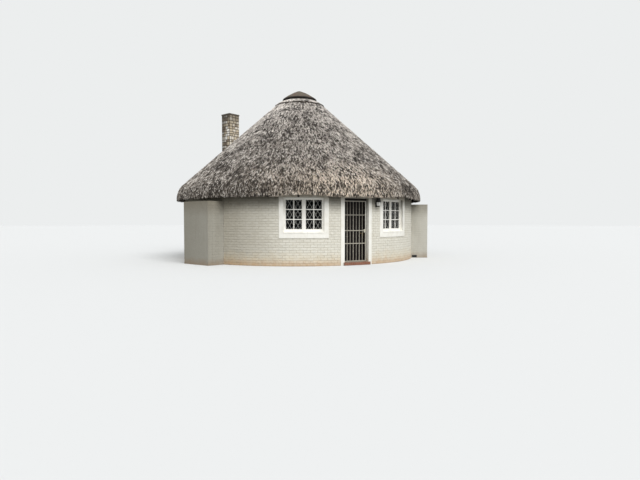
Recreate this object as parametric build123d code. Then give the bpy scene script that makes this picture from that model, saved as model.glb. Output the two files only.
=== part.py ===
from build123d import *
from math import atan2, cos, degrees, radians, sin, sqrt, tan
import os

# Rondavel hut: a round brick room under a thatched cone, with short link passages to each side.
# Millimetres, +Z up, origin on the ground at the centre of the room. The front door faces -Y.
# A bearing is an angle round the hut from the door, positive towards +X.

# Round wall
WALL_R = 4550
WALL_T = 230
FLOOR_T = 100

# Roof
EAVE_OVERHANG = 340
EAVE_Z = 2220
RAFTER_PITCH = 42.4
THATCH_PITCH = 42.0
EAVE_DEPTH = 392
EAVE_ROUND = 700
EAVE_LIP_ROUND = 20
SHOULDER_R = 1060
SHOULDER_TOP_R = 600
SHOULDER_TOP_PITCH = 14
CROWN_RISE = 35
TRIM_RISE = 95
TRIM_RISE_DOOR = 45
TRIM_HALF_SPAN = 1100
TRIM_DEPTH = 200
RAFTER_D = 80
RAFTER_COUNT = 31
RAFTER_START = -25.1
RAFTER_TAIL_BACK = 110
APEX_RING_R = 700
APEX_RING_T = 100
APEX_RING_H = 150
PLATE_W = 100
PLATE_H = 100
FILL_T = 60
SEAT_GAP = 0.3

# Thatch collar and ridge cap
COLLAR_R = 1010
COLLAR_T = 45
CAP_R = 690
CAP_NECK_R = 640
CAP_NECK_H = 45
CAP_LIP_H = 45
CAP_LIP_ROUND = 14
CAP_RISE = 370
CAP_BULGE = 28
CAP_TIP_R = 60

# Windows
WINDOW_BEARINGS = (-22.9, 22.6, 112, 157, 248)
WINDOW_W = 1320
WINDOW_SILL_Z = 1068
WINDOW_HEAD_Z = 2222
WINDOW_RECESS = 80
FRAME_W = 35
FRAME_D = 70
MULLION_W = 50
SASH_W = 32
SASH_D = 36
GLASS_T = 4
SILL_H = 55
SILL_PROUD = 6
SILL_DROP = 18
SURROUND_T = 22
SURROUND_SIDE = 150
SURROUND_BELOW = 158
SURROUND_ABOVE = 128

# Front door
DOOR_OPENING_W = 930
DOOR_HEAD_Z = 2215
DOOR_FRAME_W = 55
DOOR_FRAME_D = 95
DOOR_FRAME_RECESS = 136
STOP_W = 18
STOP_D = 32
LEAF_T = 44
LEAF_GAP = 5.5
LEAF_FLOOR_GAP = 8
LEAF_STILE = 110
LEAF_RAIL = 130
LEAF_PANEL_RECESS = 10
LEAF_PANEL_ROWS = 3
DOOR_BAND_W = 130
STEP_PROUD = 60
STEP_SIDE = 40

# Door and gate hinges
KNUCKLE_D = 16
KNUCKLE_H = 45
PIN_D = 8
PIN_GAP = 0.3
FLAP_T = 3
FLAP_W = 34
HINGE_INSET = 260
DOOR_AXIS_PROUD = 9

# Door handle
HANDLE_Z = 1050
HANDLE_INSET = 60
HANDLE_PLATE_W = 40
HANDLE_PLATE_H = 180
HANDLE_PLATE_T = 4
LEVER_D = 16
LEVER_REACH = 38
LEVER_L = 115

# Security gate
GATE_SIDE_GAP = 28
GATE_T = 20
GATE_FRAME_GAP = 6
GATE_STILE = 25
GATE_FLOOR_GAP = 12
GATE_TOP_Z = 2135
GATE_BAR = 12
GATE_MAIN_BAR = 16
GATE_COLLAR_D = 28
GATE_COLLAR_H = 40
GATE_COLLAR_HEIGHTS = (430, 930, 1470, 1830)
GATE_BAR_COUNT = 6
GATE_RAIL_HEIGHTS = (700, 1130, 1650)
GATE_AXIS_OUT = 13
GATE_ARM_T = 6
LOCK_W = 60
LOCK_H = 110
LOCK_T = 30

# Link passages
LINK_BEARINGS = {"left": -67.15, "right": 61.5}
LINK_W = 1330
LINK_WALL_T = 230
LINK_REACH = 600
PARTY_T = 110
LINK_WALL_H = 2060
LINK_ROOF_T = 60

# Chimney
CHIMNEY_BEARING = 202.1
CHIMNEY_SET_IN = 50
CHIMNEY_W = 565
CHIMNEY_H = 6420
CHIMNEY_CAP_W = 595
CHIMNEY_CAP_T = 60
FLUE_W = 230
FLUE_BOTTOM_Z = 2600
THATCH_CHIMNEY_GAP = 3

# Wall lantern
LANTERN_BEARING = 10.1
LANTERN_Z = 2035
LANTERN_OUT = 118
LANTERN_W = 150
LANTERN_FOOT_W = 120
LANTERN_FOOT_H = 35
LANTERN_GLASS_H = 130
LANTERN_ROOF_W = 196
LANTERN_ROOF_TOP_W = 120
LANTERN_ROOF_H = 125
LANTERN_KNOB_H = 30
LANTERN_SIDES = 6
LANTERN_PLATE_W = 80
LANTERN_PLATE_H = 150
LANTERN_PLATE_T = 12
LANTERN_ARM_D = 16

INNER_R = WALL_R - WALL_T
EAVE_R = WALL_R + EAVE_OVERHANG
RAFTER_TAIL_R = EAVE_R - RAFTER_TAIL_BACK
CHIMNEY_R = WALL_R - CHIMNEY_SET_IN
LINK_HALF = LINK_W / 2
PASSAGE_W = LINK_W - 2 * LINK_WALL_T
LINK_END_R = WALL_R + LINK_REACH
BEYOND = 2 * WALL_T


def box(x0, x1, y0, y1, z0, z1):
    """A box between three pairs of coordinates."""
    return Pos((x0 + x1) / 2, (y0 + y1) / 2, (z0 + z1) / 2) * Box(x1 - x0, y1 - y0, z1 - z0)


def upright(radius, z0, z1, x=0.0, y=0.0):
    """A vertical cylinder."""
    return Pos(x, y, (z0 + z1) / 2) * Cylinder(radius, z1 - z0)


def at_bearing(shape, bearing):
    """A shape made facing the door side, turned to its bearing."""
    return shape.rotate(Axis.Z, bearing)


def ring(r_in, r_out, z0, z1):
    """An upright ring round the hut's centre."""
    return upright(r_out, z0, z1) - upright(r_in, z0 - 1, z1 + 1)


def turned(outline):
    """A solid of revolution about Z from a closed outline drawn in XZ."""
    return revolve(make_face(outline), Axis.Z)


def save(name, *shapes):
    """Write one node, with its solids side by side."""
    solids = [s for shape in shapes for s in shape.solids()]
    part = solids[0] if len(solids) == 1 else Compound(children=solids)
    part.label = name
    export_step(part, f"parts/{name}.step")
    print(f"{name}: {len(solids)} solid(s)")


def under_z(r):
    """Height of the thatch's underside at a radius."""
    return EAVE_Z + (EAVE_R - r) * tan(radians(RAFTER_PITCH))


def outer_z(r):
    """Height of the thatch's straight outer slope at a radius."""
    return EAVE_Z + EAVE_DEPTH + (EAVE_R - r) * tan(radians(THATCH_PITCH))


# Rafters lie against the underside of the thatch, and on the outer edge of the wall plate.
RAFTER_DROP = (RAFTER_D / 2 + SEAT_GAP) / cos(radians(RAFTER_PITCH))
PLATE_OUT_R = WALL_R - (WALL_T - PLATE_W) / 2
PLATE_TOP_Z = under_z(PLATE_OUT_R) - (RAFTER_D + 2 * SEAT_GAP) / cos(radians(RAFTER_PITCH))
WALL_TOP_Z = PLATE_TOP_Z - PLATE_H


def opening_box(width, z0, z1, bearing):
    """The space cut through the round wall by an opening with parallel sides."""
    space = box(-width / 2, width / 2, -WALL_R - BEYOND, -INNER_R + BEYOND, z0, z1)
    return at_bearing(space, bearing)


def wall_openings():
    """Every break in the round wall: name, bearing, width, bottom and top."""
    found = [("door", 0, DOOR_OPENING_W, 0, DOOR_HEAD_Z)]
    for bearing in WINDOW_BEARINGS:
        found.append(("window", bearing % 360, WINDOW_W, WINDOW_SILL_Z, WINDOW_HEAD_Z))
    for bearing in LINK_BEARINGS.values():
        found.append(("link", bearing % 360, PASSAGE_W, 0, LINK_WALL_H))
    found.append(("chimney", CHIMNEY_BEARING, CHIMNEY_W, 0, WALL_TOP_Z))
    return sorted(found, key=lambda item: item[1])


SEGMENT_NAMES = (
    "wall_door_right", "wall_front_right", "wall_right", "wall_back_right", "wall_back",
    "wall_back_left", "wall_left", "wall_front_left", "wall_door_left",
)


def build_round_wall():
    """The wall segments between openings, and the walling under and over each opening."""
    whole = ring(INNER_R, WALL_R, 0, WALL_TOP_Z)
    openings = wall_openings()
    pieces = whole
    for _, bearing, width, _, _ in openings:
        pieces = pieces - opening_box(width, -1, WALL_TOP_Z + 1, bearing)

    def bearing_of(solid):
        spot = solid.center()
        return degrees(atan2(spot.X, -spot.Y)) % 360

    for name, solid in zip(SEGMENT_NAMES, sorted(pieces.solids(), key=bearing_of)):
        save(name, solid)
    breasts = [whole & opening_box(w, 0, z0, b) for kind, b, w, z0, _ in openings if kind == "window"]
    heads = [
        whole & opening_box(w, z1, WALL_TOP_Z, b)
        for kind, b, w, _, z1 in openings if kind != "chimney"
    ]
    save("window_breast_walls", *breasts)
    save("opening_head_walls", *heads)


def build_floor():
    """The room's floor slab, and the brick step through the doorway."""
    save("floor_slab", upright(INNER_R - SEAT_GAP, 0, FLOOR_T) - chimney_space(0))
    half = DOOR_OPENING_W / 2
    step = box(-half, half, -WALL_R - STEP_PROUD, -INNER_R + BEYOND, 0, FLOOR_T)
    wing_back = -WALL_R - SURROUND_T - SEAT_GAP
    wing = box(-half - STEP_SIDE, half + STEP_SIDE, -WALL_R - STEP_PROUD, wing_back, 0, FLOOR_T)
    save("door_step", (step + wing) - upright(INNER_R, -1, FLOOR_T + 1))


def chimney_space(gap):
    """The upright space that the chimney fills, with a gap all round."""
    half = CHIMNEY_W / 2 + gap
    space = box(-half, half, -CHIMNEY_R - half, -CHIMNEY_R + half, -1, CHIMNEY_H)
    return at_bearing(space, CHIMNEY_BEARING)


def rafter(bearing, radius=RAFTER_D / 2):
    """One roof pole, from its tail under the eave up to the ring at the apex."""
    slope = radians(RAFTER_PITCH)
    run = (RAFTER_TAIL_R - APEX_RING_R) / cos(slope)
    mid_r = (RAFTER_TAIL_R + APEX_RING_R) / 2
    mid_z = under_z(mid_r) - RAFTER_DROP
    pole = Cylinder(radius, run + 2 * RAFTER_D)
    pole = pole.rotate(Axis.X, -(90 - RAFTER_PITCH)).translate((0, -mid_r, mid_z))
    keep = box(-RAFTER_D, RAFTER_D, -RAFTER_TAIL_R, -APEX_RING_R, EAVE_Z - BEYOND, under_z(0))
    return at_bearing(pole & keep, bearing)


def rafter_bearings():
    """The bearings of the roof poles."""
    return [RAFTER_START + 360 / RAFTER_COUNT * i for i in range(RAFTER_COUNT)]


def build_roof_timbers():
    """Wall plate, roof poles, apex ring and the walling between the pole feet."""
    clear = chimney_space(SEAT_GAP)
    plate = ring(PLATE_OUT_R - PLATE_W, PLATE_OUT_R, WALL_TOP_Z, PLATE_TOP_Z) - clear
    save("wall_plate", plate)
    save("rafters", *[rafter(bearing) for bearing in rafter_bearings()])
    top = under_z(APEX_RING_R) - SEAT_GAP
    hub = ring(APEX_RING_R - APEX_RING_T, APEX_RING_R - SEAT_GAP, top - APEX_RING_H, top)
    save("apex_ring", hub)
    lean = SEAT_GAP / cos(radians(RAFTER_PITCH))
    inner = WALL_R - FILL_T
    with BuildLine() as outline:
        Polyline(
            (inner, 0, WALL_TOP_Z), (WALL_R, 0, WALL_TOP_Z),
            (WALL_R, 0, under_z(WALL_R) - lean), (inner, 0, under_z(inner) - lean),
            close=True,
        )
    fill = turned(outline.wire()) - clear
    notches = [rafter(bearing, RAFTER_D / 2 + SEAT_GAP) for bearing in rafter_bearings()]
    save("wall_top_fill", fill - notches)


def shoulder_z(r):
    """Height of the thatch's outer surface at a radius on the rounded shoulder."""
    a, b = radians(THATCH_PITCH), radians(SHOULDER_TOP_PITCH)
    curve_r = (SHOULDER_R - SHOULDER_TOP_R) / (sin(a) - sin(b))
    centre_r = SHOULDER_R - curve_r * sin(a)
    centre_z = outer_z(SHOULDER_R) - curve_r * cos(a)
    return centre_z + sqrt(curve_r ** 2 - (r - centre_r) ** 2)


def build_thatch():
    """The thatched cone with its rounded eave, trimmed up over the door and the front windows."""
    mid_r = (SHOULDER_R + SHOULDER_TOP_R) / 2
    crown_z = shoulder_z(SHOULDER_TOP_R) + CROWN_RISE
    with BuildLine() as outline:
        Polyline(
            (0, 0, crown_z), (0, 0, under_z(APEX_RING_R)), (APEX_RING_R, 0, under_z(APEX_RING_R)),
            (EAVE_R, 0, EAVE_Z), (EAVE_R, 0, outer_z(EAVE_R)), (SHOULDER_R, 0, outer_z(SHOULDER_R)),
        )
        ThreePointArc(
            (SHOULDER_R, 0, outer_z(SHOULDER_R)), (mid_r, 0, shoulder_z(mid_r)),
            (SHOULDER_TOP_R, 0, shoulder_z(SHOULDER_TOP_R)),
        )
        Line((SHOULDER_TOP_R, 0, shoulder_z(SHOULDER_TOP_R)), (0, 0, crown_z))
    section = make_face(outline.wire())
    for place, radius in ((-1, EAVE_ROUND), (0, EAVE_LIP_ROUND)):
        rim = section.vertices().filter_by(lambda v: v.X > EAVE_R - 1).sort_by(Axis.Z)
        section = fillet(rim[place], radius)
    cone = revolve(section, Axis.Z)
    trim_r = (TRIM_HALF_SPAN ** 2 + TRIM_RISE ** 2) / (2 * TRIM_RISE)
    cuts = [chimney_space(THATCH_CHIMNEY_GAP)]
    trims = [(0, TRIM_RISE_DOOR)] + [(bearing, TRIM_RISE) for bearing in WINDOW_BEARINGS[:2]]
    for bearing, rise in trims:
        drum = Cylinder(trim_r, 2 * TRIM_DEPTH).rotate(Axis.X, 90)
        drum = drum.translate((0, -EAVE_R, EAVE_Z + rise - trim_r))
        cuts.append(at_bearing(drum, bearing))
    save("thatch_cone", cone - cuts)


def build_collar_and_cap():
    """The thatch collar round the top of the cone, and the mortar cap seated on it."""
    top_r, low = SHOULDER_TOP_R, SEAT_GAP
    mid_r = (COLLAR_R + top_r) / 2
    with BuildLine() as outline:
        ThreePointArc(
            (COLLAR_R, 0, shoulder_z(COLLAR_R) + low), (mid_r, 0, shoulder_z(mid_r) + low),
            (top_r, 0, shoulder_z(top_r) + low),
        )
        Line((top_r, 0, shoulder_z(top_r) + low), (top_r, 0, shoulder_z(top_r) + COLLAR_T))
        ThreePointArc(
            (top_r, 0, shoulder_z(top_r) + COLLAR_T), (mid_r, 0, shoulder_z(mid_r) + COLLAR_T),
            (COLLAR_R, 0, shoulder_z(COLLAR_R) + COLLAR_T),
        )
        Line((COLLAR_R, 0, shoulder_z(COLLAR_R) + COLLAR_T), (COLLAR_R, 0, shoulder_z(COLLAR_R) + low))
    save("thatch_collar", turned(outline.wire()))

    seat = COLLAR_T + low
    seat_z, neck_z = shoulder_z(top_r) + seat, shoulder_z(CAP_NECK_R) + seat
    lip_low = neck_z + CAP_NECK_H
    lip_z = lip_low + CAP_LIP_H
    mid_r = (CAP_NECK_R + top_r) / 2
    top_z = lip_z + CAP_RISE
    slope = CAP_RISE / CAP_R
    with BuildLine() as outline:
        Polyline((0, 0, top_z), (0, 0, seat_z), (top_r, 0, seat_z))
        ThreePointArc((top_r, 0, seat_z), (mid_r, 0, shoulder_z(mid_r) + seat), (CAP_NECK_R, 0, neck_z))
        Polyline((CAP_NECK_R, 0, neck_z), (CAP_NECK_R, 0, lip_low), (CAP_R, 0, lip_low), (CAP_R, 0, lip_z))
        ThreePointArc(
            (CAP_R, 0, lip_z), (CAP_R / 2, 0, lip_z + CAP_RISE / 2 + CAP_BULGE),
            (CAP_TIP_R, 0, top_z - CAP_TIP_R * slope),
        )
        Line((CAP_TIP_R, 0, top_z - CAP_TIP_R * slope), (0, 0, top_z))
    section = make_face(outline.wire())
    section = fillet(section.vertices().filter_by(lambda v: v.X > CAP_R - 1), CAP_LIP_ROUND)
    save("ridge_cap", revolve(section, Axis.Z))


def build_windows():
    """Frames, opening sashes, panes, sills and plaster surrounds, the same at every window."""
    half = WINDOW_W / 2
    face = sqrt(WALL_R ** 2 - half ** 2) - WINDOW_RECESS
    back = face - FRAME_D
    low, high = WINDOW_SILL_Z + SILL_H, WINDOW_HEAD_Z
    frame = box(-half, half, -face, -back, low, high)
    light_w = (WINDOW_W - 2 * FRAME_W - MULLION_W) / 2
    sash_face = face - (FRAME_D - SASH_D) / 2
    sashes, panes = [], []
    for side in (-1, 1):
        mid = side * (MULLION_W + light_w) / 2
        x0, x1 = mid - light_w / 2, mid + light_w / 2
        z0, z1 = low + FRAME_W, high - FRAME_W
        frame = frame - box(x0, x1, -face - 1, -back + 1, z0, z1)
        g = SEAT_GAP
        outer = box(x0 + g, x1 - g, -sash_face, -sash_face + SASH_D, z0 + g, z1 - g)
        hole = box(x0 + SASH_W, x1 - SASH_W, -face - 1, -back + 1, z0 + SASH_W, z1 - SASH_W)
        sashes.append(outer - hole)
        pane_y = -sash_face + SASH_D / 2
        panes.append(box(
            x0 + SASH_W, x1 - SASH_W, pane_y - GLASS_T / 2, pane_y + GLASS_T / 2, z0 + SASH_W, z1 - SASH_W
        ))
    sill = window_sill(half, face, back)
    outside = (half + SURROUND_SIDE, WINDOW_SILL_Z - SURROUND_BELOW, WINDOW_HEAD_Z + SURROUND_ABOVE)
    band = ring(WALL_R + SEAT_GAP, WALL_R + SURROUND_T, outside[1], outside[2])
    band = band & box(-outside[0], outside[0], -WALL_R - BEYOND, -INNER_R, outside[1], outside[2])
    band = band - box(-half, half, -WALL_R - BEYOND, 0, WINDOW_SILL_Z, WINDOW_HEAD_Z)
    groups = {
        "window_frames": [frame], "window_sashes": sashes, "window_panes": panes,
        "window_sills": [sill], "window_surrounds": [band],
    }
    for name, shapes in groups.items():
        save(name, *[at_bearing(shape, bearing) for bearing in WINDOW_BEARINGS for shape in shapes])


def window_sill(half, face, back):
    """A sill across the whole depth of the wall, sloped outwards and curved like the wall."""
    front = WALL_R + SURROUND_T + SILL_PROUD
    inside = sqrt(INNER_R ** 2 - half ** 2)
    with BuildLine(Plane.YZ) as outline:
        Polyline(
            (-front, WINDOW_SILL_Z), (-front, WINDOW_SILL_Z + SILL_H - 2 * SILL_DROP),
            (-face, WINDOW_SILL_Z + SILL_H), (-inside, WINDOW_SILL_Z + SILL_H), (-inside, WINDOW_SILL_Z),
            close=True,
        )
    sill = extrude(make_face(outline.wire()), half, both=True)
    return sill & upright(front, WINDOW_SILL_Z - 1, WINDOW_SILL_Z + SILL_H + 1)


DOOR_HALF = DOOR_OPENING_W / 2
DOOR_FACE = sqrt(WALL_R ** 2 - DOOR_HALF ** 2) - DOOR_FRAME_RECESS
DOOR_BACK = DOOR_FACE - DOOR_FRAME_D
CLEAR_HALF = DOOR_HALF - DOOR_FRAME_W
CLEAR_TOP_Z = DOOR_HEAD_Z - DOOR_FRAME_W
LEAF_HALF = CLEAR_HALF - LEAF_GAP
LEAF_BOTTOM_Z = FLOOR_T + LEAF_FLOOR_GAP
LEAF_TOP_Z = CLEAR_TOP_Z - LEAF_GAP
DOOR_AXIS = (-(CLEAR_HALF + LEAF_HALF) / 2, -DOOR_BACK + DOOR_AXIS_PROUD)
HINGE_HEIGHTS = (LEAF_BOTTOM_Z + HINGE_INSET, LEAF_TOP_Z - HINGE_INSET)
GATE_HALF = DOOR_HALF - GATE_SIDE_GAP
GATE_FRONT = DOOR_FACE + GATE_FRAME_GAP + GATE_T
GATE_AXIS = (-GATE_HALF - GATE_AXIS_OUT, -GATE_FRONT)
GATE_BOTTOM_Z = FLOOR_T + GATE_FLOOR_GAP
GATE_HINGE_HEIGHTS = (GATE_BOTTOM_Z + HINGE_INSET, GATE_TOP_Z - HINGE_INSET)


def knuckle(axis, z, upper):
    """Half a lift-off hinge: the lower half carries the pin, the upper half its socket."""
    x, y = axis
    if upper:
        barrel = upright(KNUCKLE_D / 2, z + PIN_GAP, z + KNUCKLE_H, x, y)
        return barrel - upright(PIN_D / 2 + PIN_GAP, z - 1, z + KNUCKLE_H + 1, x, y)
    barrel = upright(KNUCKLE_D / 2, z - KNUCKLE_H, z, x, y)
    return barrel + upright(PIN_D / 2, z - 1, z + KNUCKLE_H - 1, x, y)


def build_door():
    """Frame with its stops, the plaster band round it, the leaf, its hinges and its handle."""
    frame = box(-DOOR_HALF, DOOR_HALF, -DOOR_FACE, -DOOR_BACK, FLOOR_T, DOOR_HEAD_Z)
    stop_y0 = -DOOR_BACK - LEAF_T - LEAF_GAP - STOP_D
    frame = frame - box(-CLEAR_HALF, CLEAR_HALF, -DOOR_FACE - 1, stop_y0, 0, CLEAR_TOP_Z)
    stop_x, stop_z = CLEAR_HALF - STOP_W, CLEAR_TOP_Z - STOP_W
    frame = frame - box(-stop_x, stop_x, -DOOR_FACE - 1, 0, 0, stop_z)
    frame = frame - box(-CLEAR_HALF, CLEAR_HALF, stop_y0 + STOP_D, -DOOR_BACK + 1, 0, CLEAR_TOP_Z)
    save("door_frame", frame)

    outer = DOOR_HALF + DOOR_BAND_W
    top = WINDOW_HEAD_Z + SURROUND_ABOVE
    band = ring(WALL_R + SEAT_GAP, WALL_R + SURROUND_T, 0, top)
    band = band & box(-outer, outer, -WALL_R - BEYOND, -INNER_R, 0, top)
    save("door_surround", band - box(-DOOR_HALF, DOOR_HALF, -WALL_R - BEYOND, 0, -1, DOOR_HEAD_Z))

    fixed, moving = [], []
    x, y = DOOR_AXIS
    for z in HINGE_HEIGHTS:
        flap = box(x - FLAP_W, x, -DOOR_BACK, -DOOR_BACK + FLAP_T, z - KNUCKLE_H, z)
        fixed.append(knuckle(DOOR_AXIS, z, False) + flap)
        flap = box(x, x + FLAP_W, -DOOR_BACK, -DOOR_BACK + FLAP_T, z + PIN_GAP, z + KNUCKLE_H)
        flap = flap - upright(PIN_D / 2 + PIN_GAP, z - 1, z + KNUCKLE_H + 1, x, y)
        moving.append(knuckle(DOOR_AXIS, z, True) + flap)
    save("door_hinge_pins", *fixed)
    save("door_hinge_straps", *moving)
    save("door_leaf", door_leaf())
    save("door_handle", *[door_handle(side) for side in (-1, 1)])


def door_leaf():
    """A framed timber door with sunk panels on both faces."""
    front, back = -DOOR_BACK - LEAF_T, -DOOR_BACK
    leaf = box(-LEAF_HALF, LEAF_HALF, front, back, LEAF_BOTTOM_Z, LEAF_TOP_Z)
    panel_w = (2 * LEAF_HALF - 3 * LEAF_STILE) / 2
    clear_h = LEAF_TOP_Z - LEAF_BOTTOM_Z - (LEAF_PANEL_ROWS + 1) * LEAF_RAIL
    panel_h = clear_h / LEAF_PANEL_ROWS
    for row in range(LEAF_PANEL_ROWS):
        z0 = LEAF_BOTTOM_Z + LEAF_RAIL + row * (panel_h + LEAF_RAIL)
        for side in (-1, 1):
            mid = side * (panel_w + LEAF_STILE) / 2
            x0, x1 = mid - panel_w / 2, mid + panel_w / 2
            leaf = leaf - box(x0, x1, front - 1, front + LEAF_PANEL_RECESS, z0, z0 + panel_h)
            leaf = leaf - box(x0, x1, back - LEAF_PANEL_RECESS, back + 1, z0, z0 + panel_h)
    return leaf


def door_handle(side):
    """A lever on its plate, on the outer face (side -1) or the inner face (side 1)."""
    x = LEAF_HALF - HANDLE_INSET
    face = -DOOR_BACK - LEAF_T if side < 0 else -DOOR_BACK
    plate_end = face + side * HANDLE_PLATE_T
    tip = face + side * LEVER_REACH
    half_w, half_h = HANDLE_PLATE_W / 2, HANDLE_PLATE_H / 2
    y0, y1 = sorted((face, plate_end))
    plate = box(x - half_w, x + half_w, y0, y1, HANDLE_Z - half_h, HANDLE_Z + half_h)
    neck = Cylinder(LEVER_D / 2, LEVER_REACH).rotate(Axis.X, 90).translate((x, (face + tip) / 2, HANDLE_Z))
    lever = Cylinder(LEVER_D / 2, LEVER_L).rotate(Axis.Y, 90)
    lever = lever.translate((x - LEVER_L / 2 + LEVER_D / 2, tip - side * LEVER_D / 2, HANDLE_Z))
    return plate + neck + lever


def build_gate():
    """The barred security gate in front of the door, and the pins it hangs on."""
    back = -GATE_FRONT + GATE_T
    gate = box(-GATE_HALF, GATE_HALF, -GATE_FRONT, back, GATE_BOTTOM_Z, GATE_TOP_Z)
    inner = GATE_HALF - GATE_STILE
    z0, z1 = GATE_BOTTOM_Z + GATE_STILE, GATE_TOP_Z - GATE_STILE
    gate = gate - box(-inner, inner, -GATE_FRONT - 1, back + 1, z0, z1)
    mid_y = -GATE_FRONT + GATE_T / 2
    pitch = 2 * inner / (GATE_BAR_COUNT + 1)
    for i in range(GATE_BAR_COUNT):
        x = -inner + (i + 1) * pitch
        half = (GATE_BAR, GATE_MAIN_BAR)[(i + 1) % 2] / 2
        gate = gate + box(x - half, x + half, mid_y - half, mid_y + half, z0 - 1, z1 + 1)
        if half * 2 == GATE_MAIN_BAR:
            for z in GATE_COLLAR_HEIGHTS:
                gate = gate + upright(GATE_COLLAR_D / 2, z, z + GATE_COLLAR_H, x, mid_y)
    for z in GATE_RAIL_HEIGHTS:
        gate = gate + box(-inner - 1, inner + 1, -GATE_FRONT, back, z, z + GATE_STILE)
    lock_y = -GATE_FRONT + GATE_T - LOCK_T
    lock_z = GATE_RAIL_HEIGHTS[1]
    gate = gate + box(inner - LOCK_W, inner, lock_y, back, lock_z - LOCK_H / 2, lock_z + LOCK_H / 2)
    x, y = GATE_AXIS
    pins = []
    for z in GATE_HINGE_HEIGHTS:
        tab = box(x, -GATE_HALF + 1, y - FLAP_T, y + FLAP_T, z + PIN_GAP, z + KNUCKLE_H)
        tab = tab - upright(PIN_D / 2 + PIN_GAP, z - 1, z + KNUCKLE_H + 1, x, y)
        gate = gate + knuckle(GATE_AXIS, z, True) + tab
        arm = box(x - GATE_ARM_T, x, y, -DOOR_FACE, z - KNUCKLE_H, z)
        pins.append(knuckle(GATE_AXIS, z, False) + arm)
    save("security_gate", gate)
    save("gate_hinge_pins", *pins)


def build_links():
    """The short passages that join the room to its neighbours, closed by plain party walls."""
    touch = upright(WALL_R + SEAT_GAP, -1, LINK_WALL_H + LINK_ROOF_T + 1)
    inner_end = LINK_END_R - PARTY_T
    half_pass = PASSAGE_W / 2
    floors = []
    for side, bearing in LINK_BEARINGS.items():
        walls = [
            box(min(a, b), max(a, b), -inner_end, -INNER_R, 0, LINK_WALL_H) - touch
            for a, b in ((-LINK_HALF, -half_pass), (half_pass, LINK_HALF))
        ]
        party = box(-LINK_HALF, LINK_HALF, -LINK_END_R, -inner_end, 0, LINK_WALL_H)
        roof = box(-LINK_HALF, LINK_HALF, -LINK_END_R, -INNER_R, LINK_WALL_H, LINK_WALL_H + LINK_ROOF_T)
        floor = box(-half_pass, half_pass, -inner_end, -INNER_R + BEYOND, 0, FLOOR_T)
        floor = floor - upright(INNER_R, -1, FLOOR_T + 1)
        save(f"link_{side}_walls", *[at_bearing(wall, bearing) for wall in walls])
        save(f"link_{side}_party_wall", at_bearing(party, bearing))
        save(f"link_{side}_roof", at_bearing(roof - touch, bearing))
        floors.append(at_bearing(floor, bearing))
    save("link_floors", *floors)


def build_chimney():
    """The square stack in the line of the round wall, and the cap slab on it."""
    half, flue = CHIMNEY_W / 2, FLUE_W / 2
    y0, y1 = -CHIMNEY_R - half, -CHIMNEY_R + half
    stack = box(-half, half, y0, y1, 0, CHIMNEY_H)
    past_top = CHIMNEY_H + 2 * CHIMNEY_CAP_T
    hole = box(-flue, flue, -CHIMNEY_R - flue, -CHIMNEY_R + flue, FLUE_BOTTOM_Z, past_top)
    save("chimney_stack", at_bearing(stack - hole, CHIMNEY_BEARING))
    wide = CHIMNEY_CAP_W / 2
    cap = box(-wide, wide, -CHIMNEY_R - wide, -CHIMNEY_R + wide, CHIMNEY_H, CHIMNEY_H + CHIMNEY_CAP_T)
    save("chimney_cap", at_bearing(cap - hole, CHIMNEY_BEARING))


def lantern_prism(foot_w, top_w, z0, z1):
    """A six-sided tapered body between two heights, round the lantern's own axis."""
    sections = []
    for width, z in ((foot_w, z0), (top_w, z1)):
        sections.append(Pos(0, -WALL_R - LANTERN_OUT, z) * RegularPolygon(width / 2, LANTERN_SIDES))
    return loft(sections)


def build_lantern():
    """The wall lantern beside the door: bracket and foot, glass body, and a roof with its knob."""
    glass_top = LANTERN_Z + LANTERN_GLASS_H / 2
    glass_low = LANTERN_Z - LANTERN_GLASS_H / 2
    roof_top = glass_top + LANTERN_ROOF_H
    roof = lantern_prism(LANTERN_ROOF_W, LANTERN_ROOF_TOP_W, glass_top + SEAT_GAP, roof_top)
    knob = upright(LANTERN_ARM_D / 2, glass_top + LANTERN_ARM_D, roof_top + LANTERN_KNOB_H)
    roof = roof + knob.translate((0, -WALL_R - LANTERN_OUT, 0))
    foot_z = glass_low - LANTERN_FOOT_H
    foot = lantern_prism(LANTERN_ARM_D, LANTERN_FOOT_W + SEAT_GAP, foot_z, glass_low - SEAT_GAP)
    plate_y = -WALL_R - SEAT_GAP
    half_w = LANTERN_PLATE_W / 2
    arm_z = foot_z + LANTERN_FOOT_H / 2
    plate = box(-half_w, half_w, plate_y - LANTERN_PLATE_T, plate_y, foot_z, foot_z + LANTERN_PLATE_H)
    arm_l = LANTERN_OUT - SEAT_GAP
    arm = Cylinder(LANTERN_ARM_D / 2, arm_l).rotate(Axis.X, 90).translate((0, plate_y - arm_l / 2, arm_z))
    glass = lantern_prism(LANTERN_FOOT_W, LANTERN_W, glass_low, glass_top)
    save("lantern_glass", at_bearing(glass, LANTERN_BEARING))
    save("lantern_bracket", at_bearing(foot + plate + arm, LANTERN_BEARING))
    save("lantern_roof", at_bearing(roof, LANTERN_BEARING))


os.makedirs("parts", exist_ok=True)
build_floor()
build_round_wall()
build_roof_timbers()
build_thatch()
build_collar_and_cap()
build_windows()
build_door()
build_gate()
build_links()
build_chimney()
build_lantern()
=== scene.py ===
import logging
from dataclasses import dataclass, field
from enum import Enum
from itertools import product
from math import ceil, cos, degrees, pi, radians, sin, sqrt, tan, tau

import bmesh
import bpy
import numpy as np
from mathutils import Matrix, Vector, noise
from mathutils.bvhtree import BVHTree


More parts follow.
